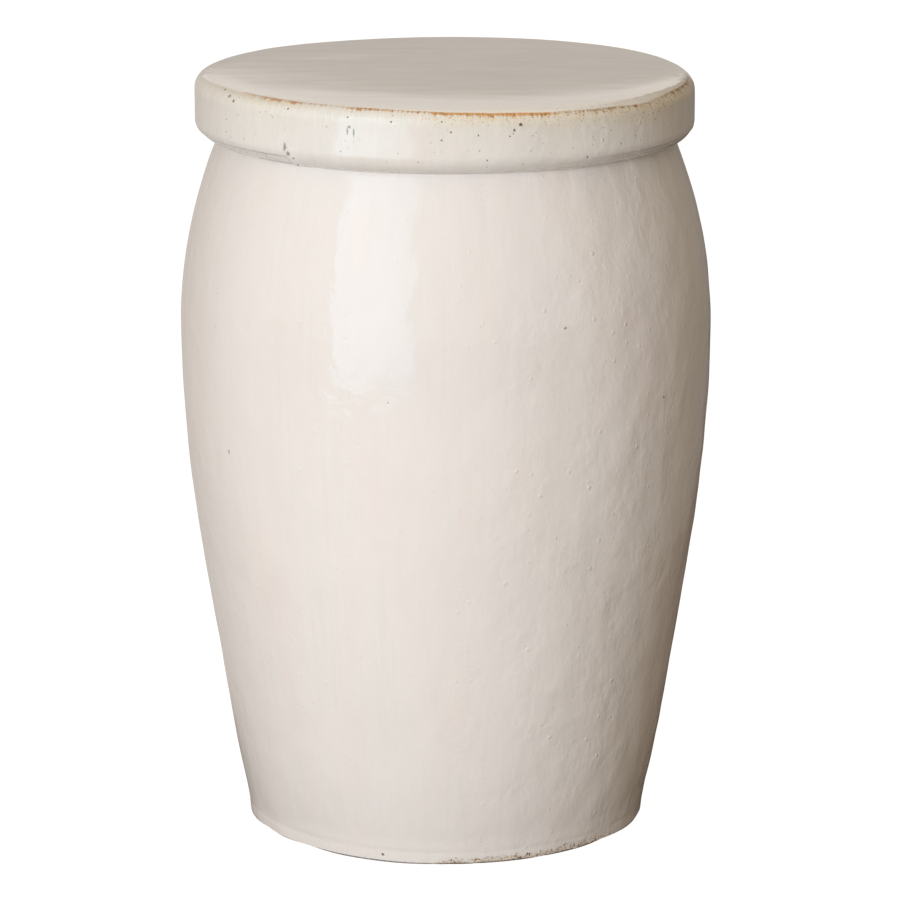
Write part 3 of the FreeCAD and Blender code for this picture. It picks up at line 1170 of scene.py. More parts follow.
@dataclass(frozen=True, kw_only=True)
class RimGlazeFinish(GlazeFinish):
    """Glaze of the rim, which breaks to rust along the seat's edge."""

    sizes: StoolSizes
    shift: float
    seat: SeatGlazeFinish
    rust: Colour = (0.66, 0.34, 0.11)
    deep_rust: Colour = (0.33, 0.13, 0.035)
    tan: Colour = (0.76, 0.62, 0.40)
    green_grey: Colour = (0.64, 0.68, 0.60)
    old_rust: Colour = (0.30, 0.215, 0.11)
    # Stops round the front half: degrees from the front, then the value
    line_angle: Stops = (
        (-90, 82), (-52, 82), (-30, 78), (-20, 71), (-6, 59), (2, 52), (12, 46), (24, 38), (40, 34),
        (50, 26), (66, 48), (90, 52),
    )
    line_width_mm: Stops = (
        (-56, 0.0), (-50, 2.8), (-40, 3.2), (-31, 2.4), (-27, 1.2), (-22, 2.6), (-14, 1.9), (-8, 1.4),
        (-3, 1.9), (8, 2.1), (18, 2.2), (23, 1.6), (30, 1.3), (44, 1.1), (60, 1.2), (68, 1.7), (79, 1.4),
        (86, 0.0),
    )
    solid_line: Stops = (
        (-60, 0.2), (-48, 0.56), (-40, 0.62), (-27, 0.35), (-14, 0.55), (-6, 0.55), (-2, 0.95), (20, 1.0),
        (25, 0.36), (62, 0.28), (70, 0.6),
    )
    # Tan mottling round the front; its dip from -24 to -8 degrees, where the soft box's reflection falls,
    # whitens the glaze as a painted highlight
    mottle_and_highlight_share: Stops = (
        (-90, 0.5), (-60, 1.0), (-42, 0.9), (-30, 0.5), (-24, 0.2), (-8, 0.15), (0, 0.8), (30, 0.8),
        (60, 1.0),
    )
    run_length_mm: Stops = (
        (-75, 1.2), (-50, 2.6), (-26, 2.2), (-10, 1.8), (-1, 4.2), (14, 4.0), (24, 4.5), (36, 4.5), (56, 6.5),
        (70, 5.0), (90, 0.8),
    )

    @staticmethod
    def round_front(sheet: NodeSheet, stops: Stops, scale: float) -> Shade:
        """A value that changes with the angle round the front half.

        Args:
            sheet: Node sheet of the finish.
            stops: Angles in degrees, each with a value.
            scale: Largest value of the stops, or more.

        Returns:
            The value.
        """
        x, y, _ = sheet.parts(sheet.place)
        share = x.turn_to(-y) / math.pi + 0.5
        return sheet.curve(share, [(angle / 180 + 0.5, value) for angle, value in stops], scale)

    def make(self) -> bpy.types.Material:
        """Makes the material."""
        material, sheet = new_finish(self.name)
        above = self.height_over_line(sheet)
        streak = sheet.noise(sheet.wrapped(self.radius, 6.0), 1.4, 3.0, 0.6)
        blotch = sheet.noise(sheet.wrapped(self.radius, 1.5), 4.0, 3.0, 0.6)
        grain = sheet.noise(sheet.place, 1.0, 2.0, 0.6)
        width = self.round_front(sheet, self.line_width_mm, 4.0)
        solid = self.round_front(sheet, self.solid_line, 1.0)
        runs = self.round_front(sheet, self.run_length_mm, 8.0)
        mottle_and_highlight = self.round_front(sheet, self.mottle_and_highlight_share, 1.0)

        # The rust line, the drips that run down from it and the haze round it
        in_front = width.ease(0.02, 0.4)
        place = above + 0.8 * blotch + 0.9 * grain
        thick = (width * (1.0 + 2.4 * streak + 1.6 * blotch)).high(0.2)
        core = place.ease(0.2, -0.15) * (place + thick).ease(-0.35, 0.25) * in_front
        core = core * (solid - 0.55 + 1.2 * blotch + 1.4 * grain + 2.2 * streak).ease(-0.12, 0.06)
        past = (-place - 0.7 * thick).high(0.0)
        reach = runs * (0.15 + 2.4 * (streak + 0.8 * blotch + 0.10).high(0.0))
        drips = (1.3 - 1.3 * past / reach).clamp() * place.ease(0.2, -0.3) * in_front
        haze = (1.0 - past / (runs * 2.4)).clamp() * place.ease(0.6, -0.4)
        stained = (drips * (0.55 + 2.4 * grain + 2.0 * blotch).clamp() * (0.35 + 0.65 * solid)).clamp()
        rust = sheet.mix(sheet.degrees.ease(22.0, 36.0) * 0.85, self.rust, self.old_rust)

        # Colours of the glaze below the line, and the seat's own glaze above it
        greens = sheet.noise(sheet.wrapped(self.radius + 3.0, 2.0), 7, 3.0, 0.6).ease(-0.02, 0.14)
        creams = sheet.noise(sheet.wrapped(self.radius + 7.0, 3.5), 2.4, 3.0, 0.65).ease(-0.06, 0.16)
        patches = sheet.noise(sheet.wrapped(self.radius + 5.0, 1.0), 9, 3.0, 0.6)
        hazes = (0.55 + 0.6 * streak + 1.8 * blotch + 2.6 * patches).clamp() * (0.4 + 0.6 * mottle_and_highlight)
        on_seat = self.corner_turn(sheet).ease(math.radians(62), math.radians(90))
        # Painted light: the seat's whitened front edge, carried onto the rim above the rust line
        painted_lit_edge = self.seat.lit_front_edge_share(sheet) * place.ease(0.1, 0.9)
        crumbs = stray_specks(sheet, 1.7 * MM, 0.75 * MM, 0.9, 0.9)
        colour = sheet.cover(
            self.ground(sheet),
            (greens * 0.8 * past.ease(20.0, 2.0), self.green_grey),
            (creams * mottle_and_highlight * 0.36 * past.ease(24.0, 4.0), self.tan),
            (haze * hazes, self.tan),
            (on_seat, self.seat.ground(sheet)),
            (painted_lit_edge * 0.6, self.lit_edge_colour),
            (stained, rust),
            (crumbs * haze * runs.ease(1.0, 4.0) * 0.8, self.deep_rust),
            (core * 0.92, rust),
            (core * (grain + streak + 0.6 * blotch).ease(0.0, 0.2) * 0.75, self.deep_rust),
            # Painted shade in the fold under the rim
            (self.painted_fold_shade(sheet) * 0.25, self.old_rust),
        )
        colour, pits = self.speckle(sheet, colour)
        relief = self.relief(sheet) + 0.10 * painted_lit_edge - 0.08 * core - pits
        self.finish(sheet, colour, relief, 0.25 * core + 0.08 * stained)
        return material

    def painted_fold_shade(self, sheet: NodeSheet) -> Shade:
        """Mask of the painted shade along the fold under the rim's left-hand side.

        Args:
            sheet: Node sheet of the finish.

        Returns:
            The mask.
        """
        wobble = 0.8 * MM * sheet.noise(sheet.place, 5)
        off = abs(sheet.height + wobble - (self.sizes.neck_height + FOLD_HEIGHT - 0.6 * MM))
        at_left = sheet.degrees.ease(-90.0, -80.0)
        return off.ease(0.8 * MM, 0.1 * MM) * at_left * sheet.degrees.ease(-37.2, -38.6)

    def corner_turn(self, sheet: NodeSheet) -> Shade:
        """Angle round the seat's edge, from 0 at its side to a right angle on top, in radians."""
        outwards = sheet.reach(self.shift) - self.sizes.seat_radius
        return (sheet.height - self.sizes.corner_height).high(0.0).turn_to(outwards.high(1e-5))

    def height_over_line(self, sheet: NodeSheet) -> Shade:
        """Distance over the edge's break line, along the surface.

        Args:
            sheet: Node sheet of the finish.

        Returns:
            The distance in millimetres, negative below the line.
        """
        sizes = self.sizes
        corner_mm = sizes.corner / MM
        turned = self.corner_turn(sheet) * corner_mm
        flat = (-(sheet.reach(self.shift) - sizes.seat_radius)).high(0.0) / MM
        side = (sheet.height - sizes.corner_height).low(0.0) / MM
        line = self.round_front(sheet, self.line_angle, 90.0) * (math.radians(1.0) * corner_mm)
        return turned + flat + side - line

    def radius_at(self, height: float) -> float:
        """Radius of the rim's surface at a height.

        Args:
            height: Height above the floor.

        Returns:
            The radius.
        """
        sizes = self.sizes
        rise = max(height - sizes.corner_height, 0.0)
        fall = max(sizes.roll_centre[1] - height, 0.0)
        corner = math.sqrt(max(sizes.corner**2 - rise**2, 0.0)) - sizes.corner
        roll = math.sqrt(max(sizes.rim_roll**2 - fall**2, 0.0)) - sizes.rim_roll
        return sizes.rim_radius + corner + roll

    def speckle(self, sheet: NodeSheet, colour: Shade) -> tuple[Shade, Shade]:
        """Adds the iron specks, dark pits and blue-grey drips.

        Args:
            sheet: Node sheet of the finish.
            colour: Colour under them.

        Returns:
            The new colour, and the depth of the pits in millimetres.
        """
        iron, dark, blue = (marks_mask(sheet, RIM_MARKS[stain], self.radius_at) for stain in Stain)
        strays = stray_specks(sheet, 3.6 * MM, 0.6 * MM, 0.6, 0.3)
        colour = sheet.cover(
            colour, (blue * 0.8, self.blue_grey), (strays * 0.7, self.iron), (iron * 0.85, self.iron),
            (dark * 0.9, self.dark),
        )
        return colour, 0.12 * iron + 0.25 * dark + 0.05 * strays


@dataclass(frozen=True)
class ClayFinish:
    """Fired stoneware clay without glaze, gritty and a little stained."""

    name: str
    colour: Colour = (0.50, 0.385, 0.275)
    stain: Colour = (0.36, 0.245, 0.155)
    grit: Colour = (0.70, 0.60, 0.48)
    # Colour of the painted contact shadow along the clay's lowest edge
    contact_shadow_colour: Colour = (0.075, 0.065, 0.06)
    grit_mm: float = 1.1

    def make(self) -> bpy.types.Material:
        """Makes the material."""
        material, sheet = new_finish(self.name)
        clouds = sheet.noise(sheet.place, 38, 4.0, 0.6)
        grain = sheet.noise(sheet.place, self.grit_mm, 4.0, 0.7)
        rings = sheet.noise(sheet.vector("MULTIPLY", sheet.place, (0.12, 0.12, 1.0)), 3.5)
        grit = stray_specks(sheet, 2.4 * MM, 0.55 * MM, 0.5, 0.1)
        colour = sheet.cover(self.colour, (clouds.ease(-0.1, 0.3), self.stain), (grit * 0.7, self.grit))
        colour = sheet.mix(1.0, colour, 1.0 + 0.25 * grain + 0.12 * rings, "MULTIPLY")
        # Painted contact shadow: the clay's lowest millimetre or so is darkened where the floor shades it
        contact_shadow = (sheet.height + 0.6 * MM * grain).ease(1.3 * MM, 0.6 * MM) * 0.85
        colour = sheet.mix(contact_shadow, colour, self.contact_shadow_colour)
        bump = sheet.bump(0.14 * grain + 0.05 * rings + 0.12 * grit)
        inputs = {"Base Color": colour, "Roughness": (0.86 + 0.12 * grain).clamp(), "Normal": bump}
        sheet.surface("ShaderNodeBsdfPrincipled", inputs)
        return material


# Glaze coats


@dataclass
class WallCoat:
    """The coat of glaze over the barrel wall, from the foot's lip to the neck."""

    sizes: StoolSizes
    outline: WallOutline
    hands: HandShape
    segments: int = 576
    foot_step: float = 0.8 * MM
    wall_step: float = 3.0 * MM
    neck_step: float = 0.7 * MM
    inner_step: float = 32 * MM
    lump_height: float = 0.11 * MM
    dimple_height: float = 0.11 * MM
    foot_flare: float = 0.45 * MM
    ridge_height: float = 0.35 * MM
    # Degrees from the front, height in millimetres, spread in degrees and spread in millimetres
    ridges: tuple[tuple[float, float, float, float], ...] = (
        (34.5, 89.4, 3.2, 1.3), (25.7, 109.4, 2.6, 1.1), (27.7, 332.7, 1.3, 2.6),
    )

    def row_heights(self) -> np.ndarray:
        """Heights of the outer rows, close together at the foot and under the rim."""
        sizes = self.sizes
        return graded_steps([
            (sizes.bare_foot_height, self.foot_step),
            (sizes.lip_height + 6 * MM, self.foot_step),
            (sizes.foot_joint_height, self.wall_step),
            (sizes.neck_height - 22 * MM, self.wall_step),
            (sizes.neck_height - 9 * MM, self.neck_step),
            (sizes.neck_height, self.neck_step),
        ])

    def relief(self, angles: np.ndarray, heights: np.ndarray) -> np.ndarray:
        """Height of the glaze's lumps, runs and rolls.

        Args:
            angles: Angles round the stool, in one row.
            heights: Heights, in one column.

        Returns:
            The relief for every angle and height.
        """
        lip = self.sizes.lip_height
        degrees = np.degrees(angles)
        lumps = RoundLumps(21, 34, 30 * MM).on(angles, heights) - 0.9
        dimples = RoundLumps(22, 120, 11 * MM).on(angles, heights)
        dimples = dimples * (1.0 + 0.8 * ease(degrees, 0, 30) * ease(degrees, 120, 90))
        relief = self.lump_height * lumps + self.dimple_height * dimples
        for angle, height, width, tall in self.ridges:
            ridge = self.ridge_height * bell(degrees, angle, width) * bell(heights, height * MM, tall * MM)
            relief = relief + ridge
        flare = bell(heights, lip - 1.5 * MM, 3.4 * MM)
        flared = ease(degrees, -42, -58) * (0.7 + 0.3 * RoundLumps(23, 14).on(angles))
        hollow = bell(heights, lip + 1.0 * MM, 5.0 * MM) - ease(heights, lip, 0.0)
        relief = relief + self.foot_flare * (flare * flared + 1.2 * hollow * (1 - flared))
        return relief + self.crumbs(angles, heights)

    def foot_edge_drop(self, angles: np.ndarray) -> np.ndarray:
        """How far the coat's lower edge runs down past its section.

        Args:
            angles: Angles round the stool.

        Returns:
            The drop at each angle.
        """
        degrees = np.degrees(angles)
        crumbled = ease(degrees, -14, 0) * ease(degrees, 58, 44)
        ragged = RoundLumps(26, 150).on(angles) - 1.1
        low = self.sizes.bare_foot_height - 0.35 * MM
        return np.clip(low - crumbled * (0.3 - 0.45 * ragged) * MM, 0.0, low)

    def crumbs(self, angles: np.ndarray, heights: np.ndarray) -> np.ndarray:
        """Rough relief where the foot's glaze has crumbled.

        Args:
            angles: Angles round the stool.
            heights: Heights above the floor.

        Returns:
            The relief.
        """
        rough = RoundLumps(24, 260, 2.6 * MM).on(angles, heights)
        top = (6.0 + 1.8 * RoundLumps(25, 60).on(angles)) * MM
        low = ease(heights, 1.0, 0.0) * (heights < top) * ease(top - heights, 0.0, 2.2 * MM)
        return crumbled_front(np.degrees(angles)) * low * (0.55 * rough - 0.35) * MM

    def build(self, material: bpy.types.Material) -> None:
        """Makes the piece and puts it in place.

        Args:
            material: The wall's glaze.
        """
        sizes = self.sizes
        heights = self.row_heights()
        angles = turn_angles(self.segments)
        points = turn_points(self.outline.rows(heights, 0.0), self.segments)
        outside = points + skin_normals(points) * self.relief(angles, heights[:, None])[..., None]
        reach = np.hypot(outside[..., 0], outside[..., 1])
        outside[..., :2] /= np.maximum(reach / sizes.belly_radius, 1.0)[..., None]
        ends = sizes.bare_foot_height, sizes.neck_height
        inner = graded_steps([(height, self.inner_step) for height in ends])
        inside = turn_points(self.outline.rows(inner, sizes.glaze), self.segments)[::-1]
        points = np.concatenate([outside, inside])
        lip = ease(points[..., 2], sizes.lip_height, sizes.bare_foot_height)
        points[..., 2] -= self.foot_edge_drop(angles) * lip
        piece = closed_skin("wall_glaze_coat", self.hands.settle(points))
        crease(piece)
        dress(piece, material, "wall_glaze", Slot.WALL_GLAZE)


@dataclass
class TopCoat:
    """The coats of glaze over the rim and the seat, which share one ring of points."""

    sizes: StoolSizes
    outline: WallOutline
    hands: HandShape
    segments: int = 640
    rim_step: float = 0.6 * MM
    seat_steps: tuple[float, float] = (5.0 * MM, 0.9 * MM)
    lump_height: float = 0.10 * MM
    dimple_height: float = 0.03 * MM
    seat_lump_height: float = 0.10 * MM
    drip_height: float = 0.9 * MM
    drip_angle: float = -36.6
    drip_top: float = 430 * MM
    fold_depth: float = 0.75 * MM

    def rim_section(self) -> np.ndarray:
        """Outer section of the rim, from the neck to the flat of the seat."""
        sizes = self.sizes
        section = Section(self.outline.at(sizes.neck_height, sizes.glaze), sizes.neck_height, self.rim_step)
        section.line(sizes.roll_centre[0], sizes.neck_height)
        section.arc(sizes.rim_radius, sizes.roll_centre[1], sizes.roll_centre)
        section.line(sizes.rim_radius, sizes.corner_height)
        section.arc(sizes.seat_radius, sizes.height, sizes.corner_centre)
        return section.array()

    def seat_rows(self) -> np.ndarray:
        """Rows of the seat's flat, from its edge to the axis."""
        radius = self.sizes.seat_radius
        wide, close = self.seat_steps
        steps = graded_steps([(0.0, wide), (radius - 20 * MM, wide), (radius, close)])[::-1][1:]
        return np.stack([steps, np.full(len(steps), self.sizes.height)], axis=-1)

    def relief(self, points: np.ndarray, along: np.ndarray) -> np.ndarray:
        """Height of the lumps and the drip, less the depth of the fold.

        Args:
            points: Points of the true turned shape.
            along: Distance of each row from the neck, along the section.

        Returns:
            The relief of every point.
        """
        sizes = self.sizes
        x, y, z = points[..., 0], points[..., 1], points[..., 2]
        angles = np.arctan2(x, -y)
        on_side = ease(np.hypot(x, y), sizes.seat_radius - 12 * MM, sizes.seat_radius + 4 * MM)
        lumps = self.lump_height * (RoundLumps(31, 30, 24 * MM).on(angles, along) - 0.4)
        dimples = self.dimple_height * RoundLumps(32, 120, 8 * MM).on(angles, along)
        side = (lumps + dimples) * on_side * ease(z, sizes.neck_height, sizes.neck_height + 5 * MM)
        flat = RoundLumps(33).read(x / (52 * MM) + 20, y / (38 * MM) + 20) - 1.3
        flat = flat + 0.25 * RoundLumps(34).read(x / (17 * MM) + 30, y / (9 * MM) + 30)
        seat = self.seat_lump_height * flat * (1 - on_side)
        degrees = np.degrees(angles)
        return side + seat + self.drip(degrees, z) - self.fold(degrees, z)

    def fold(self, degrees: np.ndarray, z: np.ndarray) -> np.ndarray:
        """Depth of the step under the rim, from the left to the run of glaze and fainter at the right.

        Args:
            degrees: Angles from the front.
            z: Heights of the points.

        Returns:
            The depth at every point.
        """
        edge = self.sizes.neck_height + FOLD_HEIGHT
        right = -37.0 - 0.22 * (z - self.sizes.neck_height) / MM
        place = ease(degrees, -92, -78) * ease(degrees, right + 0.7, right - 0.7)
        place = place + 0.6 * ease(degrees, 30, 48) * ease(degrees, 96, 84)
        return self.fold_depth * ease(z, edge, edge - 1.1 * MM) * place

    def drip(self, degrees: np.ndarray, z: np.ndarray) -> np.ndarray:
        """The run of glaze that hangs from the rim, left of the front.

        Args:
            degrees: Angles from the front.
            z: Heights of the points.

        Returns:
            Its height over the surface.
        """
        down = bell(z, self.sizes.neck_height + 5 * MM, 6 * MM)
        run = self.drip_height * bell(degrees, self.drip_angle, 1.1) * down
        return run * ease(z, self.sizes.corner_height, self.drip_top)

    def build(self, rim_material: bpy.types.Material, seat_material: bpy.types.Material) -> None:
        """Makes both pieces and puts them in place.

        Args:
            rim_material: The rim's glaze.
            seat_material: The seat's glaze.
        """
        rim = self.rim_section()
        rows = np.concatenate([rim, self.seat_rows()])
        turned = np.stack([np.maximum(rows[:, 0], 0.02 * MM), rows[:, 1]], axis=-1)
        points = turn_points(turned, self.segments)
        normals = skin_normals(points)
        normals[-1] = (0.0, 0.0, 1.0)
        outside = points + normals * self.relief(points, run_length(rows))[..., None]
        outside[..., 2] = np.minimum(outside[..., 2], self.sizes.height)
        outside = self.hands.settle(outside)
        normals = skin_normals(outside)
        normals[-2:] = (0.0, 0.0, 1.0)
        seam = len(rim)
        self.build_rim(outside[:seam], normals[:seam], rim_material)
        self.build_seat(outside[seam - 1:], normals[seam - 1:], rows[seam - 1:, 0], seat_material)

    def build_rim(self, outside: np.ndarray, normals: np.ndarray, material: bpy.types.Material) -> None:
        """Makes the rim's coat.

        Args:
            outside: Points of its outer skin.
            normals: Normals of its outer skin.
            material: The rim's glaze.
        """
        sizes = self.sizes
        under = sizes.collar_underside
        section = Section(sizes.seat_radius, sizes.clay_top, 3 * self.rim_step)
        section.arc(sizes.clay_side, sizes.corner_height, sizes.corner_centre)
        section.line(sizes.clay_side, sizes.roll_centre[1])
        section.arc(sizes.roll_centre[0], under, sizes.roll_centre)
        section.line(self.outline.at(under, sizes.glaze), under)
        inside = self.hands.settle(turn_points(section.array(), self.segments))
        piece = closed_skin("rim_glaze_coat", np.concatenate([outside, inside]))
        inner_normals = -skin_normals(inside[::-1])[::-1]
        self.set_normals(piece, np.concatenate([normals, inner_normals]).reshape(-1, 3))
        dress(piece, material, "rim_glaze", Slot.RIM_GLAZE)

    def build_seat(self, outside: np.ndarray, normals: np.ndarray, radii: np.ndarray,
                   material: bpy.types.Material) -> None:
        """Makes the seat's coat.

        Args:
            outside: Points of its upper skin, from the edge to the axis.
            normals: Normals of its upper skin.
            radii: Radius of each row.
            material: The seat's glaze.
        """
        lower = radii[::-1][::6]
        lower = np.append(lower, radii[0]) if lower[-1] < radii[0] else lower
        rows = np.stack([lower, np.full(len(lower), self.sizes.clay_top)], axis=-1)
        inside = self.hands.settle(turn_points(rows, self.segments))
        piece = capped_skin("seat_glaze_coat", np.concatenate([inside, outside]))
        under = np.broadcast_to(np.array((0.0, 0.0, -1.0)), inside.shape)
        self.set_normals(piece, join_caps(np.concatenate([under, normals])))
        dress(piece, material, "seat_glaze", Slot.SEAT_GLAZE)

    @staticmethod
    def set_normals(piece: bpy.types.Object, normals: np.ndarray) -> None:
        """Gives a piece the normals of its points."""
        piece.data.normals_split_custom_set_from_vertices(normals.tolist())


# Clay members


@dataclass
class ClayMember:
    """What the clay members share: sizes, outline, hand shape and finish."""

    sizes: StoolSizes
    outline: WallOutline
    hands: HandShape
    material: bpy.types.Material
    segments: int = 240

    def place_clay(self, piece: bpy.types.Object, node: str, sharp: float = 38.0) -> None:
        """Creases a piece of clay and puts it in place."""
        crease(piece, sharp)
        dress(piece, self.material, node, Slot.BARE_CLAY)

    def make_ring(self, node: str, section: np.ndarray, relief: np.ndarray | float = 0.0) -> None:
        """Makes a ring of clay from a closed section.

        Args:
            node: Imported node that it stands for.
            section: Radii and heights, outside upwards and inside downwards.
            relief: Move of each point towards the axis.
        """
        points = turn_points(section, self.segments)
        reach = np.hypot(points[..., 0], points[..., 1])
        points[..., :2] *= ((reach - relief) / reach)[..., None]
        self.place_clay(closed_skin(f"{node}_clay", self.hands.settle(points)), node)

    def finger_marks(self, count: int, lumps: RoundLumps) -> np.ndarray:
        """Depth of pinched marks round the stool, from 0 to 1, unevenly spaced."""
        angles = turn_angles(self.segments)
        return np.abs(np.sin(angles * count / 2 + lumps.on(angles)))


@dataclass
class ClayBarrel(ClayMember):
    """The two halves of the wall and the coil pressed over their joint."""

    row_step: float = 2.5 * MM
    ring_pitch: float = 12 * MM
    ring_height: float = 0.45 * MM
    pinch_height: float = 0.9 * MM
    pinches: int = 52
    seam_rows: int = 18

    def build(self) -> None:
        """Makes the three pieces and puts them in place."""
        sizes = self.sizes
        self.build_wall("lower_wall", sizes.foot_joint_height, sizes.belly_height)
        self.build_wall("upper_wall", sizes.belly_height, sizes.slab_underside)
        self.build_seam()

    def build_wall(self, node: str, low: float, high: float) -> None:
        """Makes one half of the wall, with the spiral that fingers left inside.

        Args:
            node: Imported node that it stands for.
            low: Lower end.
            high: Upper end.
        """
        rise = np.linspace(low, high, int((high - low) / self.row_step) + 2)
        faces = self.outline.rows(rise, self.sizes.glaze), self.outline.rows(rise, self.sizes.inside)[::-1]
        section = np.concatenate(faces)
        inner = np.arange(len(section))[:, None] >= len(rise)
        angles = turn_angles(self.segments)
        heights = section[:, 1:]
        drift = 0.35 * RoundLumps(41, 7, 70 * MM).on(angles, heights)
        wave = np.sin(math.tau * (heights / self.ring_pitch + drift) + angles)
        ends = ease(heights, low, low + 4 * MM) * ease(heights, high, high - 4 * MM)
        self.make_ring(node, section, self.ring_height * wave * ends * inner)

    def build_seam(self) -> None:
        """Makes the coil over the belly joint, pinched flat by fingers."""
        sizes = self.sizes
        belly = sizes.belly_height
        heights = np.linspace(belly - sizes.seam_reach, belly + sizes.seam_reach, self.seam_rows)
        wall = self.outline.rows(heights, sizes.inside)
        sag = sizes.seam_round - math.sqrt(sizes.seam_round**2 - sizes.seam_reach**2)
        share = 1 - ((heights - belly) / sizes.seam_reach) ** 2
        front = np.stack([wall[:, 0] - sag * share, heights], axis=-1)[1:-1][::-1]
        depth = np.concatenate([np.zeros(len(wall)), share[1:-1][::-1]])[:, None]
        pinch = self.finger_marks(self.pinches, RoundLumps(42, 9))
        self.make_ring("belly_seam_coil", np.concatenate([wall, front]), -self.pinch_height * pinch * depth)


@dataclass
class ClayTop(ClayMember):
    """The seat slab, the collar under its overhang and the coil in the corner below."""

    slab_step: float = 2.5 * MM
    collar_step: float = 1 * MM
    coil_step: float = 1.2 * MM
    coil_rows: int = 10
    collar_rows: int = 12
    lump_width: float = 24 * MM
    lump_height: float = 0.5 * MM
    pinch_height: float = 0.7 * MM
    pinches: int = 44

    def build(self) -> None:
        """Makes the three pieces and puts them in place."""
        self.build_slab()
        self.build_collar()
        self.build_coil()

    def build_slab(self) -> None:
        """Makes the disc that closes the top."""
        sizes = self.sizes
        section = Section(0.0, sizes.slab_underside, self.slab_step)
        section.line(sizes.clay_side, sizes.slab_underside)
        section.line(sizes.clay_side, sizes.corner_height)
        section.arc(sizes.seat_radius, sizes.clay_top, sizes.corner_centre)
        section.line(0.0, sizes.clay_top)
        points = turn_points(section.array(), self.segments)
        x, y, z = points[..., 0], points[..., 1], points[..., 2]
        spread = sizes.seat_radius - 25 * MM
        under = (z < sizes.slab_underside + 1e-6) * ease(np.hypot(x, y), spread, spread - 15 * MM)
        lumps = RoundLumps(51).read(x / self.lump_width + 20, y / self.lump_width + 20)
        points[..., 2] += self.lump_height * (lumps - 0.8) * under
        self.place_clay(capped_skin("seat_slab_clay", self.hands.settle(points)), "seat_slab")

    def build_collar(self) -> None:
        """Makes the strip of clay under the slab's overhang."""
        sizes = self.sizes
        under = sizes.collar_underside
        section = Section(self.outline.at(under, sizes.glaze), under, self.collar_step)
        section.line(sizes.roll_centre[0], under)
        section.arc(sizes.clay_side, sizes.roll_centre[1], sizes.roll_centre)
        section.line(sizes.clay_side, sizes.slab_underside)
        back = self.outline.rows(np.linspace(sizes.slab_underside, under, self.collar_rows)[:-1], sizes.glaze)
        self.make_ring("rim_collar", np.concatenate([section.array(), back]))

    def build_coil(self) -> None:
        """Makes the coil smoothed into the corner under the slab."""
        sizes = self.sizes
        top = sizes.slab_underside
        wall = self.outline.rows(np.linspace(top - sizes.coil_leg, top, self.coil_rows), sizes.inside)
        end = np.array((wall[-1, 0] - sizes.coil_leg, top))
        chord = wall[0] - end
        half = np.linalg.norm(chord) / 2
        aside = np.array((-chord[1], chord[0])) / (2 * half)
        aside = aside if aside[0] < 0 else -aside
        centre = (wall[0] + end) / 2 + aside * math.sqrt(sizes.coil_hollow**2 - half**2)
        section = Section(*wall[-1], self.coil_step)
        section.line(*end)
        section.arc(*wall[0], tuple(centre))
        rows = np.concatenate([wall[:-1], section.array()[:-1]])
        start = len(wall) + int(sizes.coil_leg / self.coil_step)
        bulge = np.sin(np.linspace(0.0, math.pi, len(rows) - start))
        share = np.concatenate([np.zeros(start), bulge])[:, None]
        marks = self.finger_marks(self.pinches, RoundLumps(52, 8))
        self.make_ring("seat_corner_coil", rows, self.pinch_height * marks * share)


@dataclass
class ClayFoot(ClayMember):
    """The thick ring of clay that the stool stands on."""

    segments: int = 480
    row_step: float = 0.9 * MM
    rise_step: float = 3 * MM
    slope_rows: int = 8
    rough_height: float = 0.5 * MM
    highest_crumb: float = 0.1 * MM

    def section(self) -> np.ndarray:
        """Section of the ring, from its bore round underneath and up the outside."""
        sizes = self.sizes
        lip = self.outline.at(0.0, sizes.glaze)
        edge = sizes.foot_edge
        bore = lip - sizes.foot_width
        section = Section(bore, edge, self.row_step)
        section.arc(bore + edge, 0.0, (bore + edge, edge))
        section.line(lip - edge, 0.0)
        section.arc(lip, edge, (lip - edge, edge))
        section.line(lip, sizes.lip_height)
        rise = graded_steps([(sizes.lip_height, self.row_step), (sizes.foot_joint_height, self.rise_step)])
        section.points += self.outline.rows(rise[1:], sizes.glaze).tolist()
        section.line(self.outline.at(sizes.foot_joint_height, sizes.inside), sizes.foot_joint_height)
        slope = np.linspace(section.points[-1], (bore, edge), self.slope_rows + 1)[1:-1]
        return np.concatenate([section.array(), slope])

    def build(self) -> None:
        """Makes the ring, rough underneath and bitten at the front right."""
        rows = self.section()
        angles = turn_angles(self.segments)
        along = run_length(rows)
        points = turn_points(rows, self.segments)
        rough = RoundLumps(61, 250, 3 * MM).on(angles, along) + RoundLumps(62, 90, 9 * MM).on(angles, along)
        low = ease(points[..., 2], 9 * MM, 1 * MM)
        depth = self.rough_height * (rough - 1.2 + 1.5 * crumbled_front(np.degrees(angles))) * low
        points = points + skin_normals(points) * np.minimum(depth, self.highest_crumb)[..., None]
        points[..., 2] = np.maximum(points[..., 2], 0.0)
        self.place_clay(closed_skin("foot_ring_clay", self.hands.settle(points)), "foot_ring", 60.0)


# Studio


@dataclass(frozen=True)
class StageFinish:
    """Plain finish of a stage piece, which may show white to the camera and in reflections."""

    name: str
    colour: Colour
    glow: float = 0.0

    def make(self) -> bpy.types.Material:
        """Makes the material."""
        material, sheet = new_finish(self.name)
        matt = sheet.add("ShaderNodeBsdfDiffuse", {}, {"Color": self.colour})
        glow = sheet.add("ShaderNodeEmission", {}, {"Color": (1.0, 1.0, 1.0), "Strength": self.glow})
        both = sheet.add("ShaderNodeAddShader", {}, {0: matt, 1: glow})
        sheet.surface("ShaderNodeMixShader", {0: sheet.white_rays, 1: matt, 2: both})
        return material


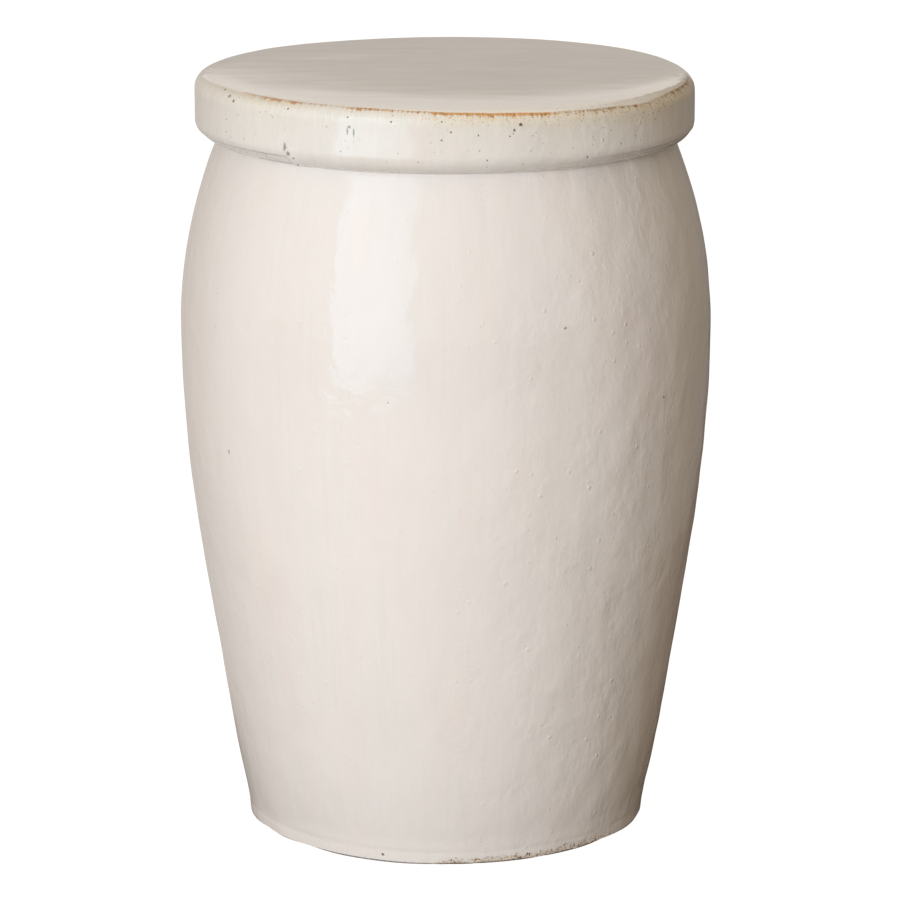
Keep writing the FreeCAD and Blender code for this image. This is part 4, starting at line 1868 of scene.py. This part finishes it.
@dataclass(frozen=True)
class PanelFinish:
    """Lit face of the soft box, dimmer at its far side and at its foot."""

    name: str
    colour: Colour
    strength: float
    far_side: float = 0.75
    foot: float = 0.7
    foot_rise: tuple[float, float] = (0.0, 0.05)

    def make(self) -> bpy.types.Material:
        """Makes the material."""
        material, sheet = new_finish(self.name)
        across, _, up = sheet.parts(sheet.add("ShaderNodeTexCoord", {}, {}, "Generated"))
        side = self.far_side + (1 - self.far_side) * across.ease(1.0, 0.3)
        level = side * (self.foot + (1 - self.foot) * up.ease(*self.foot_rise))
        sheet.glow(self.colour, level, self.strength)
        return material


@dataclass(frozen=True)
class FadedClothFinish:
    """Cloth that reflections see, whose brightness fades along one direction."""

    name: str
    direction: Colour
    start: float
    end: float
    start_level: float
    end_level: float
    tint: Colour = (1.0, 0.94, 0.88)

    def make(self) -> bpy.types.Material:
        """Makes the material."""
        material, sheet = new_finish(self.name)
        along = sheet.vector("DOT_PRODUCT", sheet.place, self.direction, "Value")
        level = self.start_level + (self.end_level - self.start_level) * along.ease(self.start, self.end)
        sheet.glow(self.tint, level)
        return material


@dataclass(frozen=True)
class FloorClothFinish:
    """Cloth on the floor that reflections see, bright in front of the stool and dim beside it."""

    name: str
    front: float = 0.92
    left: float = 0.60
    right: float = 0.10
    near_share: float = 0.40
    tint: Colour = (1.0, 0.94, 0.88)
    side_tint: Colour = (1.0, 0.82, 0.66)

    def make(self) -> bpy.types.Material:
        """Makes the material."""
        material, sheet = new_finish(self.name)
        at_left, at_right = sheet.degrees.ease(-30, -110), sheet.degrees.ease(15, 85)
        dimmer = (self.front - self.left) * at_left + (self.front - self.right) * at_right
        near = self.near_share + (1 - self.near_share) * sheet.reach().ease(0.12, 0.34)
        sheet.glow(sheet.mix(at_right, self.tint, self.side_tint), (self.front - dimmer) * near)
        return material


def level_square(half: float, height: float) -> list[tuple[float, ...]]:
    """Corners of a level square about the axis."""
    return [(x * half, y * half, height) for x, y in ((-1, -1), (1, -1), (1, 1), (-1, 1))]


def upright(start: Place, end: Place, heights: tuple[float, float]) -> list[tuple[float, ...]]:
    """Corners of a standing sheet between two places in plan and two heights."""
    low, high = heights
    return [(*start, low), (*end, low), (*end, high), (*start, high)]


@dataclass
class Studio:
    """Floor, soft light, flags and camera."""

    floor_half: float = 30.0
    camera_distance: float = 2.5605
    camera_height: float = 0.8441
    camera_pitch: float = math.radians(76.408)
    lens_mm: float = 172.17
    sensor_mm: float = 36.0
    clip_end: float = 200.0
    shift: tuple[float, float] = (0.0042, 0.0006)
    key_angle: float = -23.0
    key_distance: float = 3.0
    key_height: float = 0.68
    key_aim: float = 0.6
    key_size: tuple[float, float] = (1.0, 1.2)
    key_power: float = 64.0
    key_colour: Colour = (0.94, 0.97, 1.0)
    fill_colour: Colour = (0.49, 0.42, 0.34)
    overhead_gain: float = 0.20
    floor_colour: Colour = (0.18, 0.132, 0.088)
    floor_glow: float = 0.975
    panel_angles: tuple[float, float] = (-47.5, -13.0)
    panel_distance: float = 1.16
    panel_heights: tuple[float, float] = (0.048, 1.45)
    panel_strength: float = 3.1
    panel_colour: Colour = (0.66, 0.84, 1.0)
    card_heights: tuple[float, float] = (0.30, 0.95)
    card_half: float = 1.6
    card_distance: float = 1.5
    cloth_reach: float = 5.0
    cloth_lift: float = 0.5 * MM
    cloth_distance: float = 0.45
    cloth_heights: tuple[float, float] = (0.0, 1.2)
    # Name, side, where it starts, where its brightness has faded, and the brightness there
    side_cloths: tuple[tuple[str, float, float, float, float], ...] = (
        ("right", 1.0, -0.42, -0.05, 0.20), ("left", -1.0, -0.15, 0.15, 0.60),
    )

    def build(self) -> None:
        """Makes the whole studio."""
        self.build_world()
        floor = StageFinish("studio_floor", self.floor_colour, self.floor_glow).make()
        self.flat_piece("floor", level_square(self.floor_half, 0.0), floor, list(Ray))
        self.build_key()
        left, right = (plan_place(angle, self.panel_distance) for angle in self.panel_angles)
        panel = PanelFinish("soft_box_cloth", self.panel_colour, self.panel_strength).make()
        self.flat_piece("soft_box", upright(left, right, self.panel_heights), panel)
        self.build_flags()
        self.build_camera()

    def build_world(self) -> None:
        """Makes the room's even light, and white in its place for the camera and in reflections."""
        world = bpy.data.worlds.new("room")
        bpy.context.scene.world = world
        sheet = NodeSheet(world)
        _, _, up = sheet.parts(sheet.add("ShaderNodeTexCoord", {}, {}, "Generated"))
        level = 1.0 + self.overhead_gain * up.ease(0.25, 0.85)
        fill = sheet.add("ShaderNodeBackground", {}, {"Color": self.fill_colour, "Strength": level})
        white = sheet.add("ShaderNodeBackground", {}, {"Color": (1.0, 1.0, 1.0), "Strength": 1.0})
        seen = sheet.add("ShaderNodeMixShader", {}, {0: sheet.white_rays, 1: fill, 2: white})
        sheet.add("ShaderNodeOutputWorld", {}, {"Surface": seen})

    @staticmethod
    def flat_piece(name: str, corners: Sequence[Sequence[float]], material: bpy.types.Material,
                   seen_by: Sequence[Ray] = (Ray.GLOSSY,)) -> None:
        """Makes a flat stage piece.

        Args:
            name: Name of the piece.
            corners: Its four corners, in turn.
            material: Its finish.
            seen_by: Kinds of ray that see it.
        """
        piece = new_object(name, np.array(corners, float), [[0, 1, 2, 3]])
        piece.data.materials.append(material)
        for ray in Ray:
            setattr(piece, ray.value, ray in seen_by)

    def build_key(self) -> None:
        """Makes the large soft light at the front left."""
        light = bpy.data.lights.new("key_light", "AREA")
        light.shape = "RECTANGLE"
        light.size, light.size_y = self.key_size
        light.energy = self.key_power
        light.color = self.key_colour
        lamp = bpy.data.objects.new("key_light", light)
        bpy.context.scene.collection.objects.link(lamp)
        lamp.location = (*plan_place(self.key_angle, self.key_distance), self.key_height)
        aim = Vector((0.0, 0.0, CAD_BOX[1].z * self.key_aim)) - lamp.location
        lamp.rotation_euler = aim.to_track_quat("-Z", "Y").to_euler()
        lamp.visible_glossy = False

    def build_flags(self) -> None:
        """Makes the cloths and the card that shape the reflections on the stool's sides and seat."""
        reach = self.cloth_reach
        floor_cloth = FloorClothFinish("floor_cloth").make()
        self.flat_piece("cloth_floor", level_square(reach, self.cloth_lift), floor_cloth)
        for name, side, start, faded, level in self.side_cloths:
            finish = FadedClothFinish(f"side_cloth_{name}", (0.0, 1.0, 0.0), start, faded, 1.0, level)
            ends = [(self.cloth_distance * side, along) for along in (start, reach)]
            self.flat_piece(f"cloth_{name}", upright(*ends, self.cloth_heights), finish.make())
        finish = FadedClothFinish("card_face", (-0.15, 0.0, 1.0), 0.690, 0.775, 0.55, 1.0, (1.0, 0.98, 0.96))
        ends = [(across, self.card_distance) for across in (-self.card_half, self.card_half)]
        self.flat_piece("card_back", upright(*ends, self.card_heights), finish.make())

    def build_camera(self) -> None:
        """Makes the camera at the photograph's angle."""
        camera = bpy.data.cameras.new("camera")
        camera.lens = self.lens_mm
        camera.sensor_width = self.sensor_mm
        camera.shift_x, camera.shift_y = self.shift
        camera.clip_end = self.clip_end
        eye = bpy.data.objects.new("camera", camera)
        eye.location = (0.0, -self.camera_distance, self.camera_height)
        eye.rotation_euler = (self.camera_pitch, 0.0, 0.0)
        bpy.context.scene.collection.objects.link(eye)
        bpy.context.scene.camera = eye


# The whole stool


def main() -> None:
    """Builds the studio and every piece of the stool."""
    logging.basicConfig(level=logging.INFO, format="%(name)s: %(message)s")
    bpy.context.scene.view_settings.view_transform = "Standard"
    sizes = StoolSizes()
    outline = WallOutline(sizes)
    hands = HandShape(sizes)
    Studio().build()

    clay = ClayFinish("bare_stoneware").make()
    for member in (ClayFoot, ClayBarrel, ClayTop):
        member(sizes, outline, hands, clay).build()

    wall_glaze = WallGlazeFinish(
        "white_wall_glaze", sizes.belly_radius, colour=(0.845, 0.815, 0.795), warm=(0.85, 0.80, 0.775),
        cool=(0.82, 0.805, 0.785), fine_streak=0.035, broad_streak=0.04, streak_length=8.0,
    )
    # The seat's colour is darker than the wall's though it is the same glaze: painted shade on the seat's top
    seat_glaze = SeatGlazeFinish(
        "white_seat_glaze", sizes.seat_radius, colour=(0.735, 0.69, 0.65), warm=(0.745, 0.685, 0.635),
        cool=(0.72, 0.685, 0.65), fine_streak=0.03, broad_streak=0.12,
    )
    rim_glaze = RimGlazeFinish(
        name="broken_rim_glaze", radius=sizes.rim_radius, colour=(0.80, 0.78, 0.75), warm=(0.80, 0.765, 0.72),
        cool=(0.765, 0.765, 0.73), fine_streak=0.09, broad_streak=0.10, streak_length=5.0,
        sizes=sizes, shift=hands.rim_shift, seat=seat_glaze,
    )
    WallCoat(sizes, outline, hands).build(wall_glaze.make(outline))
    TopCoat(sizes, outline, hands).build(rim_glaze.make(), seat_glaze.make())


if __name__ == "__main__":
    main()
